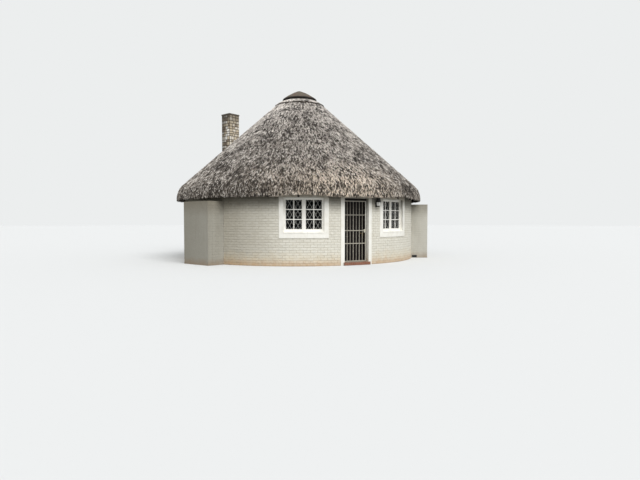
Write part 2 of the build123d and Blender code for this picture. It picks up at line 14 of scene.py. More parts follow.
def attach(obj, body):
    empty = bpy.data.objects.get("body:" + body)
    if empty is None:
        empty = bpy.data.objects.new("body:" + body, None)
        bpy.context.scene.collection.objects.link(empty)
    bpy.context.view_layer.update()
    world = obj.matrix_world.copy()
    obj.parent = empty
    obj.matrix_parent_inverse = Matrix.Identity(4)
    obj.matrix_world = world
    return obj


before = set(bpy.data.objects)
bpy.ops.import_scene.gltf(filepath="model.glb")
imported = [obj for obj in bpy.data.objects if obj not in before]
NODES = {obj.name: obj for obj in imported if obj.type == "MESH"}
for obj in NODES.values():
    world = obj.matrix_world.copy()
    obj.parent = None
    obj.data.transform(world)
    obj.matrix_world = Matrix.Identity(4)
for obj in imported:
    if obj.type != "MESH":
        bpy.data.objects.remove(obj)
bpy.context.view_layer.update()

LOG = logging.getLogger("rondavel")
Tree, Socket, Mesh, BMesh = bpy.types.NodeTree, bpy.types.NodeSocket, bpy.types.Mesh, bmesh.types.BMesh
Corner = tuple[float, float, float]
Sides = tuple[float, float, float, float]

# A bearing is in degrees round the hut from the door, and grows to the right as seen from the front.
WINDOW_BEARINGS = (-22.9, 22.6, 112.0, 157.0, 248.0)
CHIMNEY_BEARING = 202.1
CHIMNEY_HALF = 0.2825  # Half the width of the stack, which is square.
# Streaks are read on a drum about as wide as the hut, so that they don't fan out over the roof.
DRUM = (4.0, 4.0, 4.0)


def linear(colour: str) -> Sides:
    """Turn an sRGB hex colour to linear light.

    Args:
        colour: Six hex digits after a hash.

    Returns:
        Red, green, blue and a full alpha.
    """
    parts = [int(colour[i:i + 2], 16) / 255 for i in (1, 3, 5)]
    red, green, blue = (p / 12.92 if p <= 0.04045 else ((p + 0.055) / 1.055) ** 2.4 for p in parts)
    return red, green, blue, 1.0


def add(tree: Tree, kind: str, inputs: dict | None = None, **settings: object) -> bpy.types.Node:
    """Add one node with its settings and links.

    Args:
        tree: The node tree to add to.
        kind: The node's type name.
        inputs: Values or sockets for its inputs, by name or number.
        **settings: The node's own settings.

    Returns:
        The new node.
    """
    made = tree.nodes.new(kind)
    for key, value in settings.items():
        setattr(made, key, value)
    for key, value in (inputs or {}).items():
        if isinstance(value, Socket):
            tree.links.new(value, made.inputs[key])
        else:
            made.inputs[key].default_value = value
    return made


class Pattern(Enum):
    """How a layer or a relief varies over a surface."""

    CLOUDS = "soft patches"
    RAYS = "streaks that run up and down round the hut"
    HEIGHT = "by height above the ground"
    RADIUS = "by distance from the hut's axis"
    ACROSS = "by distance to the right of the door"
    TONE = "by the tone stored on the mesh"


@dataclass(frozen=True)
class Grain:
    """A pattern at a real size."""

    pattern: Pattern  # What the pattern is.
    low: float = 0.35  # Pattern value where the effect starts, in metres for a distance.
    high: float = 0.65  # Pattern value where the effect is full.
    size: float = 100.0  # Size of one feature in millimetres.
    stretch: Corner = (1.0, 1.0, 1.0)  # How many times longer a feature is along X, Y and Z.
    warp: float = 0.0  # How far the edge of a distance wanders, in metres.

    def value(self, tree: Tree) -> Socket:
        """Build the pattern's nodes.

        Args:
            tree: The material's node tree.

        Returns:
            A value from 0 to 1.
        """
        if self.pattern is Pattern.TONE:
            raw = add(tree, "ShaderNodeAttribute", attribute_name="tone").outputs["Fac"]
        else:
            place = add(tree, "ShaderNodeTexCoord").outputs["Object"]
            makers = {Pattern.CLOUDS: self.clouds, Pattern.RAYS: self.rays}
            raw = makers.get(self.pattern, self.distance)(tree, place)
        spread = {"Value": raw, "From Min": self.low, "From Max": self.high}
        return add(tree, "ShaderNodeMapRange", spread).outputs["Result"]

    def clouds(self, tree: Tree, place: Socket) -> Socket:
        """Fractal noise, one feature to a unit of scaled coordinates.

        Args:
            tree: The material's node tree.
            place: The coordinates that it is read at.

        Returns:
            The noise, from 0 to 1 with a mean near a half.
        """
        scale = [1000.0 / (self.size * part) for part in self.stretch]
        scaled = add(tree, "ShaderNodeMapping", {"Vector": place, "Scale": scale}).outputs["Vector"]
        inputs = {"Vector": scaled, "Scale": 1.0, "Detail": 5.0, "Roughness": 0.6}
        return add(tree, "ShaderNodeTexNoise", inputs).outputs["Fac"]

    def rays(self, tree: Tree, place: Socket) -> Socket:
        """Noise drawn out up and down a round surface.

        Args:
            tree: The material's node tree.
            place: A point on the surface.

        Returns:
            The noise, read where the point lands on a drum of one radius.
        """
        level, upright = {0: place, 1: (1, 1, 0)}, {0: place, 1: (0, 0, 1)}
        flat = add(tree, "ShaderNodeVectorMath", level, operation="MULTIPLY").outputs[0]
        ahead = add(tree, "ShaderNodeVectorMath", {0: flat}, operation="NORMALIZE").outputs[0]
        rise = add(tree, "ShaderNodeVectorMath", upright, operation="MULTIPLY").outputs[0]
        drum = {0: ahead, 1: DRUM, 2: rise}
        return self.clouds(tree, add(tree, "ShaderNodeVectorMath", drum, operation="MULTIPLY_ADD").outputs[0])

    def distance(self, tree: Tree, place: Socket) -> Socket:
        """Height, distance to the right or distance from the axis, with an edge that wanders.

        Args:
            tree: The material's node tree.
            place: A point on the surface.

        Returns:
            The distance in metres.
        """
        if self.pattern is Pattern.RADIUS:
            level = {0: place, 1: (1, 1, 0)}
            flat = add(tree, "ShaderNodeVectorMath", level, operation="MULTIPLY").outputs[0]
            base = add(tree, "ShaderNodeVectorMath", {0: flat}, operation="LENGTH").outputs["Value"]
        else:
            axis = "Z" if self.pattern is Pattern.HEIGHT else "X"
            base = add(tree, "ShaderNodeSeparateXYZ", {"Vector": place}).outputs[axis]
        if not self.warp:
            return base
        inputs = {0: self.clouds(tree, place), 1: self.warp, 2: base}
        return add(tree, "ShaderNodeMath", inputs, operation="MULTIPLY_ADD").outputs[0]


@dataclass(frozen=True)
class Layer:
    """One colour laid over those before it, where its pattern says so."""

    tint: str  # The colour.
    strength: float  # How much of it shows where the pattern is full.
    pattern: Pattern  # What its pattern is.
    low: float  # Pattern value where it starts to show, in metres for a distance.
    high: float  # Pattern value where it shows in full.
    size: float = 100.0  # Size of one feature in millimetres.
    stretch: Corner = (1.0, 1.0, 1.0)  # How many times longer a feature is along X, Y and Z.
    warp: float = 0.0  # How far the edge of a distance wanders, in metres.

    def over(self, tree: Tree, under: Socket | Sides) -> Socket:
        """Lay the tint over a colour.

        Args:
            tree: The material's node tree.
            under: The colour so far.

        Returns:
            The colour with this layer on it.
        """
        grain = Grain(self.pattern, self.low, self.high, self.size, self.stretch, self.warp)
        amount = {0: grain.value(tree), 1: self.strength}
        mask = add(tree, "ShaderNodeMath", amount, operation="MULTIPLY").outputs[0]
        mixed = add(tree, "ShaderNodeMix", {0: mask, 6: under, 7: linear(self.tint)}, data_type="RGBA")
        return mixed.outputs[2]


@dataclass(frozen=True)
class Relief:
    """A bump whose depth and feature size are in millimetres."""

    depth: float  # How far the surface rises and falls.
    size: float  # Size of one feature.
    stretch: Corner = (1.0, 1.0, 1.0)  # How many times longer a feature is along X, Y and Z.
    pattern: Pattern = Pattern.CLOUDS  # What its pattern is.

    def on(self, tree: Tree, under: dict) -> dict:
        """Bump a normal.

        Args:
            tree: The material's node tree.
            under: The normal so far under "Normal", or nothing.

        Returns:
            The bumped normal, in the same form.
        """
        height = Grain(self.pattern, size=self.size, stretch=self.stretch).value(tree)
        inputs = {"Height": height, "Distance": self.depth / 1000, "Strength": 1.0}
        return {"Normal": add(tree, "ShaderNodeBump", inputs | under).outputs["Normal"]}


@dataclass(frozen=True)
class Finish:
    """What a surface is made of, and how it has weathered."""

    name: str  # The material's name.
    slot: str  # The record's material slot.
    colour: str  # The clean surface's colour.
    roughness: float  # The shader's roughness.
    layers: tuple[Layer, ...] = ()  # Colours laid over it in turn.
    reliefs: tuple[Relief, ...] = ()  # Bumps laid over it in turn.
    metallic: float = 0.0  # 1 for bare metal.
    ior: float = 1.5  # Index of refraction.
    see_through: float = 0.0  # Transmission weight.
    alpha: float = 1.0  # Share of the surface that hides what is behind it.

    def material(self) -> bpy.types.Material:
        """The finish as a material, made once.

        Returns:
            The material.
        """
        found = bpy.data.materials.get(self.name)
        if found:
            return found
        made = bpy.data.materials.new(self.name)
        made.use_nodes = True
        tree = made.node_tree
        tree.nodes.clear()
        colour = linear(self.colour)
        for layer in self.layers:
            colour = layer.over(tree, colour)
        normal: dict = {}
        for relief in self.reliefs:
            normal = relief.on(tree, normal)
        inputs = {
            "Base Color": colour, "Roughness": self.roughness, "Metallic": self.metallic,
            "IOR": self.ior, "Transmission Weight": self.see_through, "Alpha": self.alpha,
        }
        shader = add(tree, "ShaderNodeBsdfPrincipled", inputs | normal)
        add(tree, "ShaderNodeOutputMaterial", {"Surface": shader.outputs[0]})
        return made


SOFT, RAYS, HEIGHT, RADIUS = Pattern.CLOUDS, Pattern.RAYS, Pattern.HEIGHT, Pattern.RADIUS
ACROSS, TONE = Pattern.ACROSS, Pattern.TONE
UPRIGHT = (1.0, 1.0, 12.0)
# Marks shared by the wall and its joints: streaks, painted shade and splashed soil.
WALL_STAINS_AND_SHADE = (
    Layer("#b3ad9c", 0.3, RAYS, 0.55, 0.8, 70, UPRIGHT),
    # Painted shade, darker towards the left.
    Layer("#9a9383", 0.62, ACROSS, -1.9, -3.3, 700, warp=0.5),
    # Painted shade under the eave.
    Layer("#544e40", 0.9, HEIGHT, 1.85, 2.4, 260, warp=0.24),
    Layer("#d8c094", 0.5, HEIGHT, 0.75, 0.2, 200, warp=0.5),
    Layer("#b07c48", 0.75, HEIGHT, 0.42, 0.0, 130, warp=0.35),
)

# Bagged and painted brick: chalky lime-cream paint, grey under the eave and darker towards the left as
# painted shade, splashed with red soil low down.
WALL_PAINT = Finish(
    "painted_brickwork", "painted_brick", "#e1ded2", 0.88,
    layers=(
        Layer("#d5d0c2", 0.6, SOFT, 0.4, 0.7, 900),
        Layer("#f0ede3", 0.5, SOFT, 0.5, 0.75, 170),
        Layer("#cfc9b9", 0.3, TONE, 0.6, 1.0),
    ) + WALL_STAINS_AND_SHADE,
    reliefs=(Relief(4.0, 90), Relief(1.5, 14)),
)
# The same paint in the joints, thinner and dirtier; clean in the reveals; dark brown-grey inside as painted
# shade of the dim room.
JOINT_PAINT = Finish(
    "painted_joints", "painted_brick", "#cac5b6", 0.9,
    layers=(
        Layer("#f4f1e8", 1.0, RADIUS, 4.546, 4.543),
        # Painted shade of the dim room on the inner face.
        Layer("#6d6152", 1.0, RADIUS, 4.345, 4.335),
    ) + WALL_STAINS_AND_SHADE,
    reliefs=(Relief(3.0, 60), Relief(1.2, 12)),
)
# The links' brick under older, greyer paint, streaked by rain off the thatch, darker on the left link and
# under the eaves as painted shade.
LINK_PAINT = Finish(
    "painted_link_brick", "link_plaster", "#c3c0b5", 0.88,
    layers=(
        Layer("#aeaa9d", 0.6, SOFT, 0.4, 0.7, 500, (1, 1, 3)),
        Layer("#8d887b", 0.35, SOFT, 0.55, 0.85, 70, (1, 1, 20)),
        # Painted shade on the left link.
        Layer("#6f6a5c", 0.6, ACROSS, -2.4, -4.6, 600, warp=0.5),
        # Painted shade under the eaves.
        Layer("#6a614f", 0.7, HEIGHT, 1.75, 2.35, 220, warp=0.3),
        Layer("#8d6f4e", 0.75, HEIGHT, 0.4, 0.02, 130, warp=0.3),
    ),
    reliefs=(Relief(2.5, 120), Relief(0.8, 10)),
)
# Trowelled plaster bands round the openings: whiter paint, darker at the top under the eave, partly
# tea-coloured where the eave drips and partly painted shade.
BAND_PAINT = Finish(
    "white_plaster_band", "white_plaster", "#f6f4ec", 0.75,
    layers=(
        Layer("#e2ddcf", 0.6, SOFT, 0.45, 0.75, 220),
        Layer("#b5a98c", 0.3, RAYS, 0.58, 0.85, 50, UPRIGHT),
        # Partly drip stain, partly painted shade of the eave.
        Layer("#8a7550", 0.85, HEIGHT, 2.16, 2.46, 110, warp=0.2),
    ),
    reliefs=(Relief(2.0, 70), Relief(0.7, 9)),
)
# Weathered grass: silver-grey cut ends, straw-coloured where fresh low down with painted light on the eave's
# drop, painted shade on both flanks, nearly black as painted shade where bundles part.
STRAW = Finish(
    "weathered_grass", "thatch", "#bcb4ab", 0.95,
    layers=(
        Layer("#948d86", 0.3, SOFT, 0.42, 0.7, 1200),
        # Paler low down: fresher straw, with painted light on the eave's drop.
        Layer("#fbe9d2", 0.95, HEIGHT, 3.9, 2.5, 500, warp=0.6),
        Layer("#ded7d0", 0.5, HEIGHT, 4.6, 5.8, 500, warp=0.6),
        # Painted shade on both flanks, left and right.
        Layer("#6a635c", 0.9, ACROSS, -0.9, -3.2, 900, warp=0.8),
        Layer("#645d56", 0.9, ACROSS, 0.5, 2.4, 900, warp=0.6),
        # Low tones turn nearly black: painted shade in the holes and towards each straw's hidden end.
        Layer("#211d1a", 0.95, TONE, 0.42, 0.12),
        Layer("#fbf5ec", 0.6, TONE, 0.56, 0.9),
    ),
)
# The imported grass behind the cut ends, always in shade: its brown-black is painted shade, streaked down the
# slope.
THATCH_BED = Finish(
    "thatch_bed", "thatch", "#2c2621", 0.95,
    layers=(Layer("#6d6152", 0.7, RAYS, 0.45, 0.8, 26, UPRIGHT),),
    reliefs=(Relief(12.0, 30, UPRIGHT, RAYS),),
)
# Cement mortar over the roof's crown: brown with dust, with grey-green and rust-red lichen, near-black under
# the lip as painted shade.
CAP_MORTAR = Finish(
    "crown_mortar", "ridge_mortar", "#5b5146", 0.92,
    layers=(
        Layer("#6e5347", 0.6, SOFT, 0.5, 0.68, 260),
        Layer("#6a6857", 0.6, SOFT, 0.5, 0.7, 170),
        Layer("#3a332c", 0.6, SOFT, 0.58, 0.75, 70),
        # Painted shade under the lip.
        Layer("#1d1916", 0.9, HEIGHT, 6.475, 6.44, 60, warp=0.03),
    ),
    reliefs=(Relief(14.0, 120), Relief(5.0, 22)),
)
# Creosoted gum poles: nearly black, checked along the grain.
POLE = Finish(
    "creosoted_pole", "roof_pole", "#30261f", 0.7,
    layers=(Layer("#5c4a3b", 0.7, SOFT, 0.5, 0.75, 40, (1, 1, 4)),),
    reliefs=(Relief(3.0, 18, (1, 1, 8)),),
)
# Old oil paint on softwood: brush marks, yellowed in the corners.
JOINERY_PAINT = Finish(
    "joinery_gloss_paint", "white_timber", "#f8f6ef", 0.4,
    layers=(
        Layer("#ded9ca", 0.5, SOFT, 0.5, 0.8, 60, (1, 1, 4)),
        Layer("#b3ab98", 0.3, SOFT, 0.6, 0.85, 300),
    ),
    reliefs=(Relief(0.6, 9, UPRIGHT),),
)
# Varnished hardwood, dark and darker still as painted shade of the doorway, nearly black: long fine grain,
# redder where the varnish has worn.
HARDWOOD = Finish(
    "varnished_hardwood", "door_timber", "#0f0b09", 0.55,
    layers=(
        Layer("#2a1b16", 0.6, SOFT, 0.5, 0.75, 16, (1, 1, 22)),
        Layer("#080605", 0.7, SOFT, 0.55, 0.75, 9, (1, 1, 30)),
    ),
    reliefs=(Relief(0.8, 7, (1, 1, 30)),), ior=1.25,
)
# Mild steel under hand-brushed cream enamel, its light painted in: bars and rails dulled as painted shade, a
# painted highlight on the lock stile and the head rail, lighter low down below the eave's painted shade.
GATE_ENAMEL = Finish(
    "cream_enamel_on_steel", "gate_steel", "#8f8a7e", 0.42,
    layers=(
        # Painted highlight on the head rail.
        Layer("#d6d1c3", 0.6, HEIGHT, 2.105, 2.109),
        # Painted highlight on the lock stile.
        Layer("#f6f3ea", 0.9, ACROSS, 0.409, 0.4115),
        # Lighter low down, under the painted shade of the eave.
        Layer("#b9b3a4", 0.8, HEIGHT, 1.9, 1.2, 90, warp=0.5),
        Layer("#968f80", 0.4, SOFT, 0.5, 0.8, 90),
        Layer("#7a4a2c", 0.7, SOFT, 0.66, 0.78, 26),
    ),
    reliefs=(Relief(0.4, 8),),
)
# The same enamel indoors, where rain and hands don't reach it.
LATTICE_ENAMEL = Finish(
    "white_enamel_on_rod", "gate_steel", "#f6f4ec", 0.4,
    layers=(Layer("#d9d4c6", 0.5, SOFT, 0.5, 0.8, 60),),
    reliefs=(Relief(0.4, 8),),
)
# Steel painted over with the woodwork many times: soft edges, rust at the knuckles.
HINGE_ENAMEL = Finish(
    "painted_over_hinge", "hinge_steel", "#c4bfae", 0.45,
    layers=(Layer("#6f5136", 0.6, SOFT, 0.6, 0.75, 18),),
    reliefs=(Relief(0.4, 7),),
)
# Cast brass, gone dull where hands don't rub it.
BRASS = Finish(
    "dull_brass", "handle_brass", "#8d7a55", 0.4,
    layers=(Layer("#6b5530", 0.6, SOFT, 0.5, 0.75, 20),),
    reliefs=(Relief(0.2, 5),), metallic=1.0,
)
# Float glass with a film of dust, which takes most of the gloss off it; its opaque share is near-black,
# painted shade of the dim room.
WINDOW_GLASS = Finish(
    "float_glass", "window_glass", "#14181a", 0.05,
    layers=(Layer("#2c3030", 0.5, SOFT, 0.4, 0.8, 300),), ior=1.2, alpha=0.2,
)
# Acid-etched glass: milky, yellowed by dust.
FROSTED_GLASS = Finish(
    "frosted_lantern_glass", "lantern_glass", "#f1f0ea", 0.35,
    layers=(Layer("#cfc9b8", 0.5, SOFT, 0.5, 0.8, 50),), see_through=0.3,
)
# A black woven wire screen, put behind the lattice as painted shade of the dim room: its millimetre mesh is
# far too fine to draw, so it shows as a dark veil.
SHADE_SCREEN_WIRE = Finish(
    "wire_screen_painted_shade", "lantern_metal", "#090a0a", 0.7,
    layers=(Layer("#1b1c1c", 0.5, SOFT, 0.45, 0.75, 120),), ior=1.2, alpha=0.88,
)
# Powder-coated cast metal, black with dust on its ledges.
LANTERN_COAT = Finish(
    "black_powder_coat", "lantern_metal", "#141312", 0.5,
    layers=(Layer("#3d3932", 0.5, SOFT, 0.5, 0.8, 30),),
    reliefs=(Relief(0.3, 3),),
)
# Rough-squared sandstone, cream to brown, darker on its left face as painted shade, black with soot towards
# the top.
STONE = Finish(
    "squared_sandstone", "chimney_stone", "#cdbfa6", 0.9,
    layers=(
        Layer("#fbf7ee", 0.95, TONE, 0.5, 0.8),
        Layer("#6f6052", 0.85, TONE, 0.3, 0.1),
        Layer("#8f877b", 0.4, SOFT, 0.52, 0.78, 110),
        # Painted shade on the left face.
        Layer("#433c34", 0.6, ACROSS, -1.84, -1.96, 150, warp=0.14),
        Layer("#453f39", 0.8, HEIGHT, 6.1, 6.8, 240, warp=0.6),
    ),
    reliefs=(Relief(6.0, 50), Relief(2.0, 10)),
)
# Lime mortar raked deep between the stones: earth-dark and gritty.
STONE_JOINT = Finish(
    "lime_joint", "chimney_stone", "#241e19", 0.95,
    layers=(Layer("#6b5c49", 0.6, SOFT, 0.45, 0.7, 80),),
    reliefs=(Relief(3.0, 14),),
)
# Steel-floated concrete floor, waxed once, scuffed.
FLOOR_CONCRETE = Finish(
    "floated_concrete", "floor_concrete", "#6a6057", 0.5,
    layers=(Layer("#5d5247", 0.7, SOFT, 0.4, 0.7, 700),),
    reliefs=(Relief(0.8, 30),),
)
# Wire-cut clay brick on edge, sand-faced, in grey mortar.
CLAY_BRICK = Finish(
    "wire_cut_clay_brick", "step_brick", "#8c5a45", 0.85,
    layers=(
        Layer("#6f3f2e", 0.6, TONE, 0.5, 1.0),
        Layer("#b98a6c", 0.5, SOFT, 0.5, 0.8, 60),
    ),
    reliefs=(Relief(1.5, 12),),
)
# Cement mortar in the step's joints: dull grey-brown, a little hollow.
BRICK_MORTAR = Finish(
    "brick_mortar", "step_brick", "#8c8172", 0.95,
    layers=(Layer("#6b6156", 0.6, SOFT, 0.45, 0.7, 40),),
    reliefs=(Relief(1.5, 8),),
)

CAD_FINISHES: dict[str, Finish] = {
    "floor_slab": FLOOR_CONCRETE, "link_floors": FLOOR_CONCRETE, "door_step": BRICK_MORTAR,
    "thatch_cone": THATCH_BED, "thatch_collar": THATCH_BED, "ridge_cap": CAP_MORTAR,
    "wall_plate": POLE, "rafters": POLE, "apex_ring": POLE,
    "window_frames": JOINERY_PAINT, "window_sashes": JOINERY_PAINT, "window_panes": WINDOW_GLASS,
    "window_sills": BAND_PAINT, "window_surrounds": BAND_PAINT, "door_surround": BAND_PAINT,
    "door_frame": HARDWOOD, "door_leaf": HARDWOOD, "door_handle": BRASS,
    "door_hinge_pins": HINGE_ENAMEL, "door_hinge_straps": HINGE_ENAMEL,
    "security_gate": GATE_ENAMEL, "gate_hinge_pins": GATE_ENAMEL,
    "chimney_stack": STONE_JOINT, "chimney_cap": STONE,
    "lantern_glass": FROSTED_GLASS, "lantern_bracket": LANTERN_COAT, "lantern_roof": LANTERN_COAT,
}


def dress_cad() -> None:
    """Give every node of the CAD model its finish."""
    for name, node in NODES.items():
        finish = CAD_FINISHES.get(name, LINK_PAINT if name.startswith("link_") else JOINT_PAINT)
        node.data.materials.clear()
        node.data.materials.append(finish.material())


def moved(x: float, y: float, z: float) -> Matrix:
    """A shift in metres."""
    return Matrix.Translation((x, y, z))


def turned(angle: float, axis: str) -> Matrix:
    """A turn in radians about one axis."""
    return Matrix.Rotation(angle, 4, axis)


def sized(x: float, y: float, z: float) -> Matrix:
    """A stretch along each axis."""
    return Matrix.Diagonal((x, y, z, 1.0))


def facing(bearing: float, radius: float = 0.0, z: float = 0.0) -> Matrix:
    """A place on the wall, seen from outside: X to the right, Y inwards, Z up.

    Args:
        bearing: Degrees round the hut from the door.
        radius: Distance from the hut's axis in metres.
        z: Height in metres.

    Returns:
        The place as a matrix.
    """
    return turned(radians(bearing), "Z") @ moved(0.0, -radius, z)


def bar(bm: BMesh, low: Corner, high: Corner, edge: float = 0.0, rounds: int = 1) -> None:
    """Add a box between two corners, its edges rounded.

    Args:
        bm: The mesh to add to.
        low: Lowest corner in metres.
        high: Highest corner in metres.
        edge: Radius of the edges.
        rounds: Segments in each rounded edge.
    """
    verts = bmesh.ops.create_cube(bm, size=1.0)["verts"]
    bmesh.ops.scale(bm, vec=Vector(high) - Vector(low), verts=verts)
    bmesh.ops.translate(bm, vec=(Vector(high) + Vector(low)) / 2, verts=verts)
    if edge:
        round_off(bm, edges_of(verts), edge, rounds)


def round_off(bm: BMesh, edges: list, radius: float, rounds: int = 2) -> None:
    """Round some edges of a mesh.

    Args:
        bm: The mesh.
        edges: Its edges to round.
        radius: Radius of the round in metres.
        rounds: Segments in it.
    """
    bmesh.ops.bevel(
        bm, geom=edges, offset=radius, segments=rounds, profile=0.5, affect="EDGES", material=-1
    )


def edges_of(verts: list) -> list:
    """The edges that meet at some vertices, each once and in the same order at every run."""
    return list(dict.fromkeys(edge for vert in verts for edge in vert.link_edges))


def front_edges(bm: BMesh) -> list:
    """The edges of the face that looks along -Y."""
    return list(next(f for f in bm.faces if f.normal.y < -0.9).edges)


def lathe(bm: BMesh, outline: list, steps: int) -> None:
    """Turn an outline right round the hut's axis."""
    bmesh.ops.spin(bm, geom=outline, cent=(0, 0, 0), axis=(0, 0, 1), angle=tau, steps=steps, use_merge=True)


def rod(bm: BMesh, start: Corner, end: Corner, radius: float, sides: int = 8) -> None:
    """Add a round bar between two points.

    Args:
        bm: The mesh to add to.
        start: One end in metres.
        end: The other end.
        radius: The bar's radius.
        sides: Flats round it.
    """
    first, last = Vector(start), Vector(end)
    run = last - first
    place = Matrix.Translation((first + last) / 2) @ run.to_track_quat("Z", "Y").to_matrix().to_4x4()
    bmesh.ops.create_cone(
        bm, cap_ends=True, segments=sides, radius1=radius, radius2=radius, depth=run.length, matrix=place
    )


def border(bm: BMesh, low: Corner, high: Corner, width: float, edge: float) -> None:
    """Add four bars that line the inside of an upright rectangle.

    Args:
        bm: The mesh to add to.
        low: Lowest corner in metres.
        high: Highest corner in metres.
        width: Width of a bar.
        edge: Radius of its edges.
    """
    (x0, y0, z0), (x1, y1, z1) = low, high
    bar(bm, low, (x0 + width, y1, z1), edge)
    bar(bm, (x1 - width, y0, z0), high, edge)
    bar(bm, (x0 + width, y0, z0), (x1 - width, y1, z0 + width), edge)
    bar(bm, (x0 + width, y0, z1 - width), (x1 - width, y1, z1), edge)


def finished(bm: BMesh, name: str) -> Mesh:
    """Turn a bmesh into a mesh with its normals out.

    Args:
        bm: The shape, which is freed.
        name: The mesh's name.

    Returns:
        The mesh.
    """
    bmesh.ops.recalc_face_normals(bm, faces=bm.faces)
    mesh = bpy.data.meshes.new(name)
    bm.to_mesh(mesh)
    bm.free()
    return mesh


def joined(name: str, shape: Mesh, places: np.ndarray, tones: np.ndarray | None = None) -> Mesh:
    """One mesh with a copy of a small shape at every place.

    Args:
        name: The new mesh's name.
        shape: The small shape.
        places: One 4 by 4 matrix for each copy.
        tones: Tones from 0 to 1, one for each copy or one for each of its points.

    Returns:
        The joined mesh, with the tones on its points.
    """
    index = np.arange(len(places))[:, None]
    points = np.array([vert.co for vert in shape.vertices])
    spots = np.einsum("nij,vj->nvi", places[:, :3, :3], points) + places[:, None, :3, 3]
    loops = np.array([loop.vertex_index for loop in shape.loops]) + index * len(points)
    starts = np.array([face.loop_start for face in shape.polygons]) + index * len(shape.loops)
    mesh = bpy.data.meshes.new(name)
    for items, key, values in (
        (mesh.vertices, "co", spots.reshape(-1, 3)),
        (mesh.loops, "vertex_index", loops.astype(np.int32).ravel()),
        (mesh.polygons, "loop_start", starts.astype(np.int32).ravel()),
    ):
        items.add(len(values))
        items.foreach_set(key, values.ravel())
    mesh.polygons.foreach_set("use_smooth", np.zeros(starts.size, bool))
    if tones is not None:
        spread = np.broadcast_to(tones.reshape(len(places), -1), spots.shape[:2])
        stored = mesh.attributes.new("tone", "FLOAT", "POINT")
        stored.data.foreach_set("value", spread.astype(np.float32).ravel())
    mesh.update(calc_edges=True)
    return mesh


def piece(name: str, shape: BMesh | Mesh, finish: Finish, body: str = "hut") -> None:
    """Show a shape as a piece of the hut.

    Args:
        name: The piece's name.
        shape: Its shape, in place.
        finish: Its finish.
        body: The body that it rides on.
    """
    mesh = finished(shape, name) if isinstance(shape, BMesh) else shape
    made = bpy.data.objects.new(name, mesh)
    bpy.context.scene.collection.objects.link(made)
    mesh.materials.append(finish.material())
    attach(made, body)
    LOG.info("%s: %d faces on %s", name, len(mesh.polygons), body)


def copies(
    name: str, shape: Mesh, places: list[Matrix], finish: Finish, tones: list | np.ndarray | None = None,
) -> None:
    """Show copies of a small shape as one piece.

    Args:
        name: The piece's name.
        shape: The small shape.
        places: Where each copy goes.
        finish: Their finish.
        tones: Their tones from 0 to 1.
    """
    grid = np.array([[list(row) for row in place] for place in places])
    piece(name, joined(name, shape, grid, None if tones is None else np.array(tones)), finish)


def surface_of(node: str) -> BVHTree:
    """The surface of a CAD node, for setting small shapes on."""
    return BVHTree.FromObject(NODES[node], bpy.context.evaluated_depsgraph_get())


